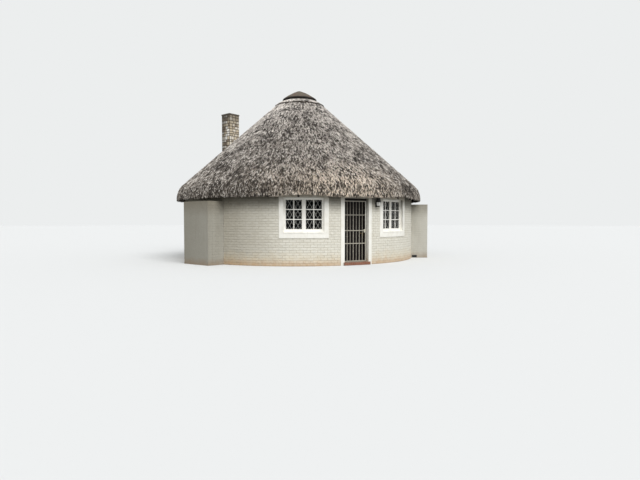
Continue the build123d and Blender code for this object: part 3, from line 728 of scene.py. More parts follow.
@dataclass
class Brickwork:
    """The faces of the painted bricks round the hut."""

    radius: float = 4.55  # Outer radius of the wall.
    top: float = 2.381  # Height of the wall.
    courses: int = 28  # Courses from the ground up.
    brick_length: float = 0.232  # A brick and its joint.
    joint: float = 0.013  # Width of a joint.
    shortest: float = 0.05  # Length of the shortest cut brick that is laid.
    proud: float = 0.007  # How far a face stands out of its joints.
    sunk: float = 0.012  # How far it reaches behind them.
    pillow: float = 0.006  # Radius of its edges.
    wave: float = 0.008  # How far a course wanders up and down.
    jitter: Corner = (0.002, 0.012, 0.01)  # How far a brick sits in or out, tips and turns.
    window_half: float = 0.81  # Half the width of a window's plaster band.
    window_low: float = 0.91  # Lower edge of that band.
    band_top: float = 2.35  # Upper edge of every band.
    door_half: float = 0.595  # Half the width of the door's band.
    links: tuple[float, float] = (-67.15, 61.5)  # Bearings of the link passages.
    link_half: float = 0.665  # Half the width of a link.
    link_top: float = 2.12  # Height of a link.
    link_courses: int = 24  # Courses of a link's walls.
    link_end: float = 5.15  # Distance of a link's party face from the hut's axis.
    closer: float = 0.07  # Room that a link's last brick needs before that face.
    link_flat: float = 0.6  # How far a link's bricks stand out, as a share of the wall's.
    link_jitter: tuple[float, float] = (0.0015, 0.006)  # How far they sit up or down, and turn.
    # Near, far, lower and upper edges of the grille at the right link's foot.
    vent: Sides = (4.545, 4.735, 0.01, 0.105)
    vent_frame: float = 0.012  # Width of the grille's frame.
    vent_clear: float = 0.02  # How far over the grille a course's middle has to be to pass over it.

    def gaps(self, z: float) -> list[tuple[float, float]]:
        """Where other pieces cover the bricks of one course.

        Args:
            z: Height of the course's middle.

        Returns:
            Bearing in degrees and half width in metres of each gap.
        """
        found = [(0.0, self.door_half, 0.0, self.band_top), (CHIMNEY_BEARING, CHIMNEY_HALF, 0.0, self.top)]
        found += [(b, self.window_half, self.window_low, self.band_top) for b in WINDOW_BEARINGS]
        found += [(b, self.link_half, 0.0, self.link_top) for b in self.links]
        return [(bearing, half) for bearing, half, low, high in found if low <= z <= high]

    def stretches(self, z: float) -> list[tuple[float, float]]:
        """The bare stretches of one course.

        Args:
            z: Height of the course's middle.

        Returns:
            Pairs of bearings in degrees, each start before its end.
        """
        edges = []
        for bearing, width in self.gaps(z):
            half = degrees(width / self.radius)
            edges.append(((bearing - half) % 360, (bearing + half) % 360))
        edges.sort()
        ends = [(edges[i][1], edges[(i + 1) % len(edges)][0]) for i in range(len(edges))]
        return [(a, b if b > a else b + 360) for a, b in ends]

    def face(self) -> Mesh:
        """One brick's pillowed face, a metre long, in front of the wall's surface.

        Returns:
            The mesh, with its face along -Y.
        """
        half = (self.top / self.courses - self.joint) / 2
        bm = bmesh.new()
        bar(bm, (-0.5, -self.proud, -half), (0.5, self.sunk, half))
        round_off(bm, front_edges(bm), self.pillow)
        return finished(bm, "brick_face")

    def link_faces(self) -> None:
        """Lay the side walls of the links in the same bond."""
        rng = np.random.default_rng(12)
        tall = self.top / self.courses
        start = sqrt(self.radius ** 2 - self.link_half ** 2) + self.proud
        places, tones = [], []
        for bearing, side, course in product(self.links, (-1, 1), range(self.link_courses)):
            z = (course + 0.5) * tall
            first = start + (0.5 if course % 2 else 1.0) * self.brick_length
            cuts = [start, *np.arange(first, self.link_end - self.closer, self.brick_length), self.link_end]
            if bearing == self.links[1] and side == -1 and z < self.vent[3] + self.vent_clear:
                cuts[0] = self.vent[1]
            for a, b in zip(cuts, cuts[1:]):
                if b - a < self.shortest:
                    continue
                spot = moved(side * self.link_half, -(a + b) / 2, z + rng.normal(0, self.link_jitter[0]))
                turn = turned(radians(90 * side) + rng.normal(0, self.link_jitter[1]), "Z")
                places.append(facing(bearing) @ spot @ turn @ sized(b - a - self.joint, self.link_flat, 1.0))
                tones.append(rng.uniform())
        copies("link_bricks", self.face(), places, LINK_PAINT, tones)

    def vent_grille(self) -> None:
        """Set the barred grille at the foot of the right link."""
        near, far, low, high = self.vent
        half, lap = (far - near) / 2, self.vent_frame - 0.002
        bm = bmesh.new()
        border(bm, (-half, -0.006, low), (half, 0.002, high), self.vent_frame, 0.002)
        bar(bm, (lap - half, -0.001, low + lap), (half - lap, 0.002, high - lap))
        for x in np.arange(-0.6, 0.7, 0.3) * half:
            bar(bm, (x - 0.004, -0.004, low + lap), (x + 0.004, 0.0, high - lap), 0.001)
        spot = moved(-self.link_half, -(far + near) / 2, 0.0)
        bm.transform(facing(self.links[1]) @ spot @ turned(-pi / 2, "Z"))
        piece("link_vent_grille", bm, LANTERN_COAT)

    def wall_faces(self) -> None:
        """Lay every course of the round wall, a half brick at alternate ends."""
        rng = np.random.default_rng(11)
        tall = self.top / self.courses
        shift, tip, turn = self.jitter
        places, tones = [], []
        for course in range(self.courses):
            z = (course + 0.5) * tall
            for start, end in self.stretches(z):
                arc = radians(end - start) * self.radius
                count = max(1, round(arc / self.brick_length))
                cuts = [i / count for i in range(count + 1)]
                if course % 2:
                    cuts = [0.0] + [(i + 0.5) / count for i in range(count)] + [1.0]
                for a, b in zip(cuts, cuts[1:]):
                    bearing = start + (end - start) * (a + b) / 2
                    # A course wanders over about a metre, and each brick sits a little out of true.
                    drift = self.wave * noise.noise(Vector((radians(bearing) * 5, course * 3.1, 0.0)))
                    place = facing(bearing, self.radius + rng.uniform(-shift, shift), z + drift)
                    tilt = turned(rng.normal(0, tip), "X") @ turned(rng.normal(0, turn), "Z")
                    places.append(place @ tilt @ sized((b - a) * arc - self.joint, 1.0, 1.0))
                    tones.append(rng.uniform())
        copies("wall_bricks", self.face(), places, WALL_PAINT, tones)

    def build(self) -> None:
        """Lay the links, their grille and the round wall."""
        self.link_faces()
        self.vent_grille()
        self.wall_faces()


@dataclass
class Straws:
    """How straws are bundled and set on one surface."""

    node: str  # The CAD node that they lie on.
    line: tuple[tuple[float, float], ...]  # Radius and height of its outer line, from the lowest row up.
    row: float = 0.062  # Distance between rows of tufts, up the slope.
    pitch: float = 0.052  # Distance between tufts along a row.
    per_tuft: int = 5  # Straws in a tuft.
    length: float = 0.135  # A straw's visible length.
    width: float = 0.0125  # A straw's width at its cut end.
    lift: float = 0.19  # How far the shaggiest tufts turn out of the surface, as a slope.
    proud: float = 0.015  # How far the shaggiest tufts stand off the surface.


def patchy(foot: Vector, fineness: float, shift: Corner = (0.0, 0.0, 0.0)) -> float:
    """Slow noise at a point, with patches of about a metre over the fineness."""
    return noise.noise(foot * fineness + Vector(shift))


def unit(rows: np.ndarray) -> np.ndarray:
    """The same directions, one unit long."""
    return rows / np.linalg.norm(rows, axis=1, keepdims=True)


@dataclass
class Thatch:
    """The grass of the roof, and the laths that it is tied to."""

    eave_radius: float = 4.89  # Radius of the eave.
    eave_low: float = 2.22  # Height of the eave's foot.
    corner: float = 2.612  # Height of the eave's outer corner before it is rounded.
    rounding: float = 0.7  # Radius of that corner.
    pitch: float = 42.0  # Pitch of the outer slope in degrees.
    shoulder: float = 1.06  # Radius where the slope ends.
    under_pitch: float = 42.4  # Pitch of the underside in degrees.
    reach: float = 0.06  # Furthest that a tuft's spot may be from the surface.
    stray: tuple[float, float] = (0.45, 0.5)  # How far it strays along its row and up, in pitches and rows.
    tuft_spread: Corner = (0.16, 0.27, 0.16)  # How far tufts differ in shagginess, in tone and in lean.
    straw_spread: tuple[float, float] = (0.16, 0.1)  # How far a tuft's straws fan out and stray, in radians.
    hole_tone: float = 0.06  # Tone of a tuft that has sunk into a hole, near-black as painted shade.
    hole_least: float = 0.03  # Least share of tufts that sink.
    fringe_pitch: float = 0.0022  # Angle between straws of the fringe, in radians.
    # How far inside the eave's radius the fringe starts and ends.
    fringe_radii: tuple[float, float] = (0.17, 0.015)
    fringe_hang: float = 0.03  # Furthest that its straws hang below the grass.
    fringe_widths: tuple[float, float] = (0.012, 0.024)  # Width of the thinnest and the thickest.
    fringe_lengths: tuple[float, float] = (0.08, 0.16)  # Length of the shortest and the longest.
    lath_radius: float = 0.009  # Radius of a lath.
    lath_inner: float = 0.9  # Radius of the highest lath's ring.
    lath_step: float = 0.26  # Distance between laths, measured level.
    sectors: int = 6  # Pieces round the hut.
    # The seeded source of jitter.
    rng: np.random.Generator = field(default_factory=lambda: np.random.default_rng(5))

    def outline(self) -> tuple[tuple[float, float], ...]:
        """The roof's outer line, straight below and above a rounded corner.

        Returns:
            Radius and height of its points, from the eave's foot to the shoulder.
        """
        slope = tan(radians(self.pitch))
        turn = radians(90 - self.pitch)
        drop = self.rounding * tan(turn / 2)
        middle = (self.eave_radius - self.rounding, self.corner - drop)
        arc = [
            (middle[0] + self.rounding * cos(turn * i / 6), middle[1] + self.rounding * sin(turn * i / 6))
            for i in range(7)
        ]
        top = self.corner + (self.eave_radius - self.shoulder) * slope
        return ((self.eave_radius, self.eave_low + 0.03), *arc, (self.shoulder, top))

    @staticmethod
    def straw() -> Mesh:
        """One straw of unit size.

        Returns:
            The mesh, with its cut end round the origin and its hidden end at -Y.
        """
        bm = bmesh.new()
        turn = moved(0.0, -0.5, 0.0) @ turned(pi / 2, "X")
        bmesh.ops.create_cone(bm, cap_ends=True, segments=3, radius1=0.5, radius2=0.0, depth=1.0, matrix=turn)
        return finished(bm, "straw")

    def spots(self, straws: Straws) -> np.ndarray:
        """Where the tufts go, before they are set on the surface.

        Args:
            straws: How they are bundled.

        Returns:
            Bearing in radians, radius and height of each tuft.
        """
        line = np.array(straws.line)
        run = np.concatenate([[0.0], np.cumsum(np.linalg.norm(np.diff(line, axis=0), axis=1))])
        level, rise = self.stray
        found = []
        for step in np.arange(0.0, run[-1], straws.row):
            radius = np.interp(step, run, line[:, 0])
            count = ceil(tau * radius / straws.pitch)
            turn = (np.arange(count) + self.rng.uniform(-level, level, count)) * tau / count
            along = np.clip(step + self.rng.uniform(-rise, rise, count) * straws.row, 0.0, run[-1])
            found.append(np.stack([turn, *(np.interp(along, run, values) for values in line.T)], 1))
        return np.concatenate(found)

    def footing(self, node: str, spots: np.ndarray) -> tuple[np.ndarray, ...]:
        """Set tufts on a surface, and read how the grass varies there.

        Args:
            node: The CAD node that they lie on.
            spots: Bearing, radius and height of each tuft.

        Returns:
            Feet, normals, shagginess, shade and the chance of a dark hole, a row for each tuft.
        """
        surface = surface_of(node)
        feet, normals, shag, shade, holes = [], [], [], [], []
        for turn, radius, z in spots:
            spot = Vector((radius * sin(turn), -radius * cos(turn), z))
            foot, normal, _, distance = surface.find_nearest(spot)
            if foot is None or distance > self.reach:
                continue
            if normal.z < 0.0:
                normal = Vector((sin(turn), -cos(turn), 0.0))
            # Shag and shade change over about 0.2 m, and holes gather in patches about 0.6 m wide.
            feet.append(foot)
            normals.append(normal)
            shag.append(0.5 + 0.8 * patchy(foot, 5.0))
            shade.append(0.55 + 0.45 * patchy(foot, 4.1, (9, 4, 7)) + 0.12 * patchy(foot, 0.9))
            holes.append(0.05 + 0.055 * min(foot.xy.length, 2.4) + 0.42 * patchy(foot, 1.7, (3, 8, 1)))
        return tuple(np.array(row) for row in (feet, normals, shag, shade, holes))

    def lay(self, name: str, straws: Straws, spots: np.ndarray) -> None:
        """Show tufts laid on a surface, cut ends down the slope.

        Args:
            name: The piece's name.
            straws: How the tufts are made.
            spots: Bearing, radius and height of each tuft.
        """
        rng, straw = self.rng, self.straw()
        feet, normals, shag, shade, holes = self.footing(straws.node, spots)
        tufts = len(shag)
        # A tuft is shaggy, shaded, sunk and leaning as a whole, with some difference from its neighbours.
        shaggy, shaded, leaning = self.tuft_spread
        shag = np.clip(shag + rng.normal(0, shaggy, tufts), 0, 1)
        sunk = rng.uniform(0, 1, tufts) < np.maximum(holes, self.hole_least)
        shade = np.where(sunk, self.hole_tone, shade + rng.normal(0, shaded, tufts))
        lean = rng.normal(0, leaning, tufts)
        by_tuft = (feet, normals, shag * (1 - 0.6 * sunk), shade, sunk, lean)
        feet, normals, shag, shade, sunk, lean = (np.repeat(row, straws.per_tuft, 0) for row in by_tuft)
        count = len(shag)
        down = unit(np.array([0.0, 0.0, -1.0]) + normals[:, 2:3] * normals)
        side = np.cross(down, normals)
        # Its straws fan out, and lie flatter on the eave's drop and near the crown.
        fan = rng.uniform(-1, 1, count)
        fanned, strayed = self.straw_spread
        yaw = (lean + fan * fanned + rng.normal(0, strayed, count))[:, None]
        flat = np.where(normals[:, 2] < 0.3, 0.45, 1.0)
        flat = flat * np.clip(0.2 + 0.35 * np.hypot(feet[:, 0], feet[:, 1]), 0.5, 1.0)
        lift = (flat * straws.lift * (0.3 + 0.7 * shag) * rng.uniform(0.6, 1.2, count))[:, None]
        along = unit(down * np.cos(yaw) + side * np.sin(yaw) + normals * lift)
        across = unit(np.cross(along, normals))
        # On the eave's drop they are shorter, and differ more in tone.
        steep = np.clip((0.74 - normals[:, 2]) / 0.4, 0.0, 1.0)
        long = straws.length * ((1 - 0.45 * steep) * rng.uniform(0.75, 1.25, count))[:, None]
        wide = straws.width * rng.uniform(0.7, 1.4, count)[:, None]
        step = side * (fan * straws.pitch * 0.5)[:, None]
        step = step + down * (rng.uniform(-0.6, 0.6, count) * straws.row)[:, None]
        height = (straws.proud * flat * (0.2 + shag) - 0.003 * sunk + rng.uniform(0.0, 0.006, count))[:, None]
        places = np.zeros((count, 4, 4))
        places[:, :3, 0] = across * wide
        places[:, :3, 1] = along * long
        places[:, :3, 2] = np.cross(across, along) * wide * 0.7
        places[:, :3, 3] = feet + step + normals * height
        places[:, 3, 3] = 1.0
        # A straw darkens towards its hidden end, as painted shade under the straws over it.
        tones = np.clip(shade + rng.normal(0, 0.09 + 0.13 * steep, count), 0, 1)
        ends = np.array([vert.co.y for vert in straw.vertices])
        piece(name, joined(name, straw, places, tones[:, None] * (1 + 0.5 * ends)), STRAW)

    def fringe(self) -> None:
        """Hang ragged ends from the eave's foot."""
        rng, surface = self.rng, surface_of("thatch_cone")
        inner, outer = (self.eave_radius - inset for inset in self.fringe_radii)
        places = []
        for turn in np.arange(0, tau, self.fringe_pitch):
            radius = rng.uniform(inner, outer)
            # A straw hangs from where a line straight up meets the underside of the grass.
            start = Vector((radius * sin(turn), -radius * cos(turn), 1.8))
            spot = surface.ray_cast(start, Vector((0, 0, 1)), 1.2)[0]
            if spot is None:
                continue
            hang = rng.uniform(0.0, self.fringe_hang) * (1.0 if radius > self.eave_radius - 0.06 else 0.5)
            lean = turned(rng.normal(0, 0.2), "Y") @ turned(rng.normal(0.05, 0.2), "X")
            size = sized(rng.uniform(*self.fringe_widths), rng.uniform(*self.fringe_lengths), 0.012)
            drop = turned(turn, "Z") @ lean @ turned(-pi / 2, "X")
            places.append(Matrix.Translation(spot - Vector((0, 0, hang))) @ drop @ size)
        copies("thatch_fringe", self.straw(), places, STRAW, rng.uniform(0.1, 0.7, len(places)))

    def laths(self) -> None:
        """Tie the rings of split pole under the grass, half sunk in it."""
        bm = bmesh.new()
        rise = tan(radians(self.under_pitch))
        for radius in np.arange(self.lath_inner, self.eave_radius - 0.1, self.lath_step):
            place = moved(radius, 0, self.eave_low + (self.eave_radius - radius) * rise) @ turned(pi / 2, "X")
            verts = bmesh.ops.create_circle(bm, segments=6, radius=self.lath_radius, matrix=place)["verts"]
            lathe(bm, verts + edges_of(verts), 90)
        piece("thatch_laths", bm, POLE)

    def build(self) -> None:
        """Cover the cone and the collar, then hang the fringe and tie the laths."""
        cone = Straws("thatch_cone", self.outline())
        spots = self.spots(cone)
        sector = (spots[:, 0] % tau / tau * self.sectors).astype(int)
        for index in range(self.sectors):
            self.lay(f"thatch_straw_{index + 1}", cone, spots[sector == index])
        collar = Straws(
            "thatch_collar", ((0.995, 6.15), (0.85, 6.27), (0.66, 6.34)),
            row=0.05, pitch=0.07, per_tuft=8, length=0.1, width=0.013, lift=0.1, proud=0.006,
        )
        self.lay("thatch_collar_straw", collar, self.spots(collar))
        self.fringe()
        self.laths()


@dataclass
class CrownCap:
    """The trowelled skin of the mortar cap, uneven where the solid under it is true."""

    neck: float = 0.64  # Radius of the cap's foot.
    lip: float = 0.69  # Radius of its lip.
    seat: float = 6.345  # Height of its foot.
    lip_low: float = 6.384  # Height of the lip's lower edge.
    lip_high: float = 6.429  # Height of its upper edge.
    apex: float = 6.8  # Height of its point.
    bulge: float = 0.028  # How far the dome stands out of a straight cone.
    skin: float = 0.006  # Mean thickness of the skin.
    rings: int = 13  # Rings of points up the dome.
    # Fineness and depth of each size of unevenness.
    waves: tuple[tuple[float, float], ...] = ((5.0, 0.014), (17.0, 0.006))
    hollow: float = -0.003  # How deep the unevenness may go.

    def build(self) -> None:
        """Turn the outline round the axis, then push its points in and out."""
        bm = bmesh.new()
        foot, edge = self.neck + self.skin, self.lip + self.skin
        line = [
            (0.0, self.seat), (foot, self.seat), (foot, self.lip_low), (edge - 0.008, self.lip_low - 0.004),
            (edge, self.lip_low + 0.01), (edge, self.lip_high - 0.012),
        ]
        for i in range(self.rings):
            share = i / self.rings
            arch = self.bulge * sin(pi * share)
            line.append((
                (self.lip - 0.006) * (1 - share) + arch * 0.5,
                self.lip_high + self.skin + (self.apex - self.lip_high) * share + arch,
            ))
        line.append((0.0, self.apex + self.skin))
        verts = [bm.verts.new((x, 0.0, z)) for x, z in line]
        lathe(bm, verts + [bm.edges.new(pair) for pair in zip(verts, verts[1:])], 72)
        bmesh.ops.remove_doubles(bm, verts=bm.verts, dist=0.0005)
        bm.normal_update()
        for vert in bm.verts:
            # Outwards from the axis, and up or down with the height over a point 6 m up.
            out = Vector((vert.co.x, vert.co.y, 0.4 * vert.co.z - 2.4)).normalized()
            rough = sum(patchy(vert.co, fineness) * depth for fineness, depth in self.waves)
            vert.co += out * max(rough, self.hollow) * (vert.co.z > self.lip_low - 0.001)
        mesh = finished(bm, "cap_skin")
        mesh.polygons.foreach_set("use_smooth", np.ones(len(mesh.polygons), bool))
        piece("cap_skin", mesh, CAP_MORTAR)


@dataclass
class Windows:
    """Glazing bars, hinges, fasteners and burglar lattices, the same at every window."""

    glass_low: float = 1.190  # Lower edge of the glass.
    glass_high: float = 2.155  # Upper edge of the glass.
    glass_in: float = 0.057  # Inner edge of a sash's glass from the window's middle.
    glass_out: float = 0.593  # Outer edge of a sash's glass.
    glass_y: float = 4.387  # The glass's distance from the hut's axis.
    bar_width: float = 0.028  # Width of a glazing bar.
    bar_depth: float = 0.026  # Depth of a glazing bar.
    bar_edge: float = 0.005  # Radius of its edges.
    putty: float = 0.009  # Width of the bead of putty round the glass.
    # How far a lattice and its screen reach past the glass, across and up.
    lap: tuple[float, float] = (0.02, 0.03)
    mesh_pitch: tuple[float, float] = (0.134, 0.241)  # Width and height of one diamond.
    mesh_y: float = 4.346  # The lattice's distance from the hut's axis.
    mesh_bar: float = 0.006  # Radius of a lattice bar.
    mesh_frame: tuple[float, float] = (0.012, 0.005)  # Width and half depth of the lattice's flat frame.
    screen_gap: float = 0.018  # Distance from the lattice to the screen behind it.
    screen: float = 0.001  # Thickness of the screen.
    sash_face: float = 4.405  # Distance of a sash's outer face from the hut's axis.
    hinge_z: float = 0.14  # Distance of a hinge from the glass's upper or lower edge.
    hinge_x: float = 0.031  # Distance of a hinge from the glass's outer edge.
    knuckle: tuple[float, float] = (0.03, 0.006)  # Half the length and the radius of a hinge's knuckle.

    def sashes(self, lap: float = 0.0) -> list[list[float]]:
        """Left and right edges of each sash's glass, with a lap past them."""
        return [sorted((side * (self.glass_in - lap), side * (self.glass_out + lap))) for side in (-1, 1)]

    def glazing(self) -> Mesh:
        """The bars and putty of one window's two sashes.

        Returns:
            The mesh, at bearing 0.
        """
        bm = bmesh.new()
        half, deep = self.bar_width / 2, self.bar_depth / 2
        step = (self.glass_high - self.glass_low) / 3
        y0, y1 = -self.glass_y - deep, -self.glass_y + deep
        for x0, x1 in self.sashes():
            middle = (x0 + x1) / 2
            bar(bm, (middle - half, y0, self.glass_low), (middle + half, y1, self.glass_high), self.bar_edge)
            for row in (1, 2):
                z = self.glass_low + row * step
                bar(bm, (x0, y0 + 0.001, z - half), (x1, y1 - 0.001, z + half), self.bar_edge)
            low, high = (x0, y0 + 0.004, self.glass_low), (x1, -self.glass_y, self.glass_high)
            border(bm, low, high, self.putty, 0.003)
        return finished(bm, "glazing_bars")

    def lattice(self) -> Mesh:
        """The welded diamond lattice behind one window's two sashes.

        Returns:
            The mesh, at bearing 0.
        """
        bm = bmesh.new()
        wide, tall = self.mesh_pitch
        width, deep = self.mesh_frame
        z0, z1 = self.glass_low - self.lap[1], self.glass_high + self.lap[1]
        for x0, x1 in self.sashes(self.lap[0]):
            for lean, step in product((-1, 1), range(-6, 7)):
                middle = (x0 + x1) / 2 + (step + 0.5) * wide
                ends = self.clipped(middle, (z0 + z1) / 2, lean * tall / wide, (x0, x1, z0, z1))
                if ends:
                    depth = -self.mesh_y + lean * self.mesh_bar * 0.8
                    (ax, az), (bx, bz) = ends
                    rod(bm, (ax, depth, az), (bx, depth, bz), self.mesh_bar, 6)
            border(bm, (x0, -self.mesh_y - deep, z0), (x1, -self.mesh_y + deep, z1), width, 0.002)
        return finished(bm, "burglar_lattice")

    @staticmethod
    def clipped(x: float, z: float, slope: float, edges: Sides) -> tuple[tuple[float, float], ...] | None:
        """Cut a sloping line to a frame.

        Args:
            x: A point on the line.
            z: The same point's height.
            slope: Rise over run.
            edges: The frame's left, right, bottom and top.

        Returns:
            The two ends, or None where the line misses the frame.
        """
        left, right, low, high = edges
        spans = sorted((x + (low - z) / slope, x + (high - z) / slope))
        start, end = max(left, spans[0]), min(right, spans[1])
        if end - start < 0.01:
            return None
        return (start, z + (start - x) * slope), (end, z + (end - x) * slope)

    def screens(self) -> Mesh:
        """The rigid wire screens against the inside of the lattice, near-black as painted shade of the dim
        room.

        Returns:
            The mesh, at bearing 0.
        """
        bm = bmesh.new()
        back = -self.mesh_y + self.screen_gap
        for x0, x1 in self.sashes(self.lap[0]):
            low, high = self.glass_low - self.lap[1], self.glass_high + self.lap[1]
            bar(bm, (x0, back, low), (x1, back + self.screen, high))
        return finished(bm, "window_shade_screens")

    def fittings(self) -> Mesh:
        """Hinge knuckles at the outer stiles and a fastener at the meeting stiles.

        Returns:
            The mesh, at bearing 0.
        """
        bm = bmesh.new()
        half, radius = self.knuckle
        y = -self.sash_face - 0.005
        for side in (-1, 1):
            x = side * (self.glass_out + self.hinge_x)
            for z in (self.glass_low + self.hinge_z, self.glass_high - self.hinge_z):
                rod(bm, (x, y, z - half), (x, y, z + half), radius)
        # The fastener's plate, its pin and its handle.
        inner, z = -self.sash_face + 0.037, (self.glass_low + self.glass_high) / 2
        bar(bm, (-0.045, inner, z - 0.03), (-0.03, inner + 0.008, z + 0.03), 0.002)
        rod(bm, (-0.038, inner + 0.005, z), (-0.038, inner + 0.03, z), 0.005)
        bar(bm, (-0.044, inner + 0.024, z - 0.075), (-0.032, inner + 0.034, z + 0.008), 0.004, 2)
        return finished(bm, "window_fittings")

    def build(self) -> None:
        """Make each kind of bar and fitting at every window."""
        turns = [facing(bearing) for bearing in WINDOW_BEARINGS]
        for name, mesh, finish in (
            ("window_glazing_bars", self.glazing(), JOINERY_PAINT),
            ("window_lattices", self.lattice(), LATTICE_ENAMEL),
            ("window_shade_screens", self.screens(), SHADE_SCREEN_WIRE),
            ("window_fittings", self.fittings(), HINGE_ENAMEL),
        ):
            copies(name, mesh, turns, finish)


@dataclass
class Doorway:
    """Mouldings and locks of the door and the gate, and the bricks of the step."""

    # Distances of the leaf's outer and inner faces from the hut's axis.
    leaf_faces: tuple[float, float] = (4.33918, 4.29518)
    leaf_half: float = 0.4045  # Half the leaf's width.
    leaf_low: float = 0.108  # Height of the leaf's lower edge.
    leaf_high: float = 2.1545  # Height of its upper edge.
    stile: float = 0.11  # Width of its stiles.
    rail: float = 0.13  # Height of its rails.
    sunk: float = 0.01  # Depth of its panels.
    bead: float = 0.014  # Width of the bead round a panel.
    inset: float = 0.035  # Distance from a panel's edge to its raised middle.
    rise: tuple[float, float] = (0.004, 0.005)  # Height of the bead and of the middle over the panel.
    keyhole: tuple[float, float] = (0.3445, 0.925)  # Place of the keyholes' middle, across and up.
    plate: tuple[float, float] = (0.016, 0.003)  # Radius and thickness of a keyhole's plate.
    gate_front: float = 4.41618  # Distance of the gate's face from the hut's axis.
    lock: tuple[float, float] = (0.352, 0.412)  # Left and right edges of the gate's lock.
    lock_z: float = 1.13  # Height of its middle.
    lock_half: float = 0.048  # Half the height of its plate.
    lock_rim: tuple[float, float] = (0.009, 0.006)  # Radius and height of its keyhole's rim.
    rivet: tuple[float, float] = (0.003, 0.0045)  # Radius and height of a rivet.
    step_half: float = 0.505  # Half the width of the step.
    step_front: float = 4.61  # Distance of the step's front from the hut's axis.
    step_back: float = 4.40  # Distance of its back.
    step_high: float = 0.1  # Height of the step.
    step_bricks: int = 13  # Bricks across the step.
    step_joint: float = 0.01  # Width of their joints.

    def mouldings(self) -> None:
        """The bead round each of the six panels and its raised middle, on both faces."""
        bm = bmesh.new()
        wide = (2 * self.leaf_half - 3 * self.stile) / 2
        tall = (self.leaf_high - self.leaf_low - 4 * self.rail) / 3
        for row, side, (face, way) in product(range(3), (-1, 1), zip(self.leaf_faces, (1, -1))):
            z = self.leaf_low + self.rail + row * (tall + self.rail)
            x = side * (wide + self.stile) / 2 - wide / 2
            for inset, deep in zip((0.0, self.inset), self.rise):
                y = sorted((-face + way * self.sunk, -face + way * (self.sunk - deep)))
                low, high = (x + inset, y[0], z + inset), (x + wide - inset, y[1], z + tall - inset)
                if inset:
                    bar(bm, low, high, 0.004)
                else:
                    border(bm, low, high, self.bead, 0.0018)
        piece("door_mouldings", bm, HARDWOOD, "door")

    def keyhole_plates(self) -> None:
        """A round plate behind the keyhole on both faces."""
        bm = bmesh.new()
        (x, z), (radius, thick) = self.keyhole, self.plate
        for face, way in zip(self.leaf_faces, (-1, 1)):
            rod(bm, (x, -face, z), (x, -face + way * thick, z), radius, 24)
        piece("door_keyhole_plates", bm, BRASS, "door")

    def gate_lock(self) -> None:
        """The lock's cover plate, its keyhole rim and its four rivets."""
        bm = bmesh.new()
        (left, right), front = self.lock, -self.gate_front - 0.01
        low, high = self.lock_z - self.lock_half, self.lock_z + self.lock_half
        bar(bm, (left + 0.006, front - 0.003, low), (right - 0.006, front + 0.002, high), 0.0015)
        middle, z = (left + right) / 2, self.lock_z + 0.01
        rod(bm, (middle, front, z), (middle, front - self.lock_rim[1], z), self.lock_rim[0], 20)
        for x, z in product((left + 0.013, right - 0.013), (self.lock_z - 0.04, self.lock_z + 0.04)):
            rod(bm, (x, front, z), (x, front - self.rivet[1], z), self.rivet[0])
        piece("gate_lock_plate", bm, HINGE_ENAMEL, "gate")

    def step(self) -> None:
        """Bricks on edge across the step, a course with its ends to the front."""
        rng = np.random.default_rng(31)
        bm = bmesh.new()
        bar(bm, (-0.5, -0.5, -0.5), (0.5, 0.5, 0.5))
        round_off(bm, bm.edges[:], 0.03, 1)
        pitch = 2 * self.step_half / self.step_bricks
        size = sized(pitch - self.step_joint, self.step_front - self.step_back, self.step_high - 0.004)
        y = -(self.step_front + self.step_back) / 2 - 0.004
        places = []
        for index in range(self.step_bricks):
            x, z = (index + 0.5) * pitch - self.step_half, self.step_high / 2 + rng.uniform(-0.001, 0.003)
            places.append(moved(x, y, z) @ turned(rng.normal(0, 0.004), "Z") @ size)
        tones = rng.uniform(0, 1, self.step_bricks)
        copies("step_bricks", finished(bm, "step_brick"), places, CLAY_BRICK, tones)

    def build(self) -> None:
        """Make everything at the doorway."""
        self.mouldings()
        self.keyhole_plates()
        self.gate_lock()
        self.step()


@dataclass
class Chimney:
    """The squared stones of the stack."""

    radius: float = 4.5  # The stack's middle from the hut's axis.
    top: float = 6.42  # The stack's height.
    course: float = 0.135  # Mean height of a course.
    joint: float = 0.026  # Width of a joint.
    uneven: tuple[float, float] = (0.7, 1.3)  # Smallest and largest stone or course, as a share of the mean.
    proud: tuple[float, float] = (0.003, 0.012)  # How far the flattest and the fullest stone stand out.
    # How far stones differ in tone on the back, left, front and right faces.
    contrast: Sides = (0.9, 1.3, 0.6, 0.9)

    def stone(self) -> Mesh:
        """One stone's pillowed face, of unit width and height.

        Returns:
            The mesh, with its face along -Y.
        """
        bm = bmesh.new()
        bar(bm, (-0.5, -1.0, -0.5), (0.5, 1.0, 0.5))
        round_off(bm, front_edges(bm), 0.12)
        return finished(bm, "stone_face")

    def build(self) -> None:
        """Lay the stones on the stack's four faces, course by course."""
        rng = np.random.default_rng(23)
        places, tones = [], []
        z = 0.0
        while z < self.top - 0.05:
            tall = min(self.course * rng.uniform(*self.uneven), self.top - z)
            for quarter, contrast in enumerate(self.contrast):
                turn = facing(CHIMNEY_BEARING, self.radius) @ turned(quarter * pi / 2, "Z")
                # Three or four stones of different widths.
                shares = rng.uniform(*self.uneven, rng.integers(3, 5))
                cuts = np.concatenate([[0.0], np.cumsum(shares / shares.sum())]) * 2 * CHIMNEY_HALF
                cuts -= CHIMNEY_HALF
                for a, b in zip(cuts, cuts[1:]):
                    size = sized(b - a - self.joint, rng.uniform(*self.proud), tall - self.joint)
                    spot = moved((a + b) / 2, -CHIMNEY_HALF, z + tall / 2)
                    places.append(turn @ spot @ turned(rng.normal(0, 0.03), "Y") @ size)
                    tones.append(0.45 + (rng.uniform() - 0.52) * contrast)
            z += tall
        copies("chimney_stones", self.stone(), places, STONE, tones)


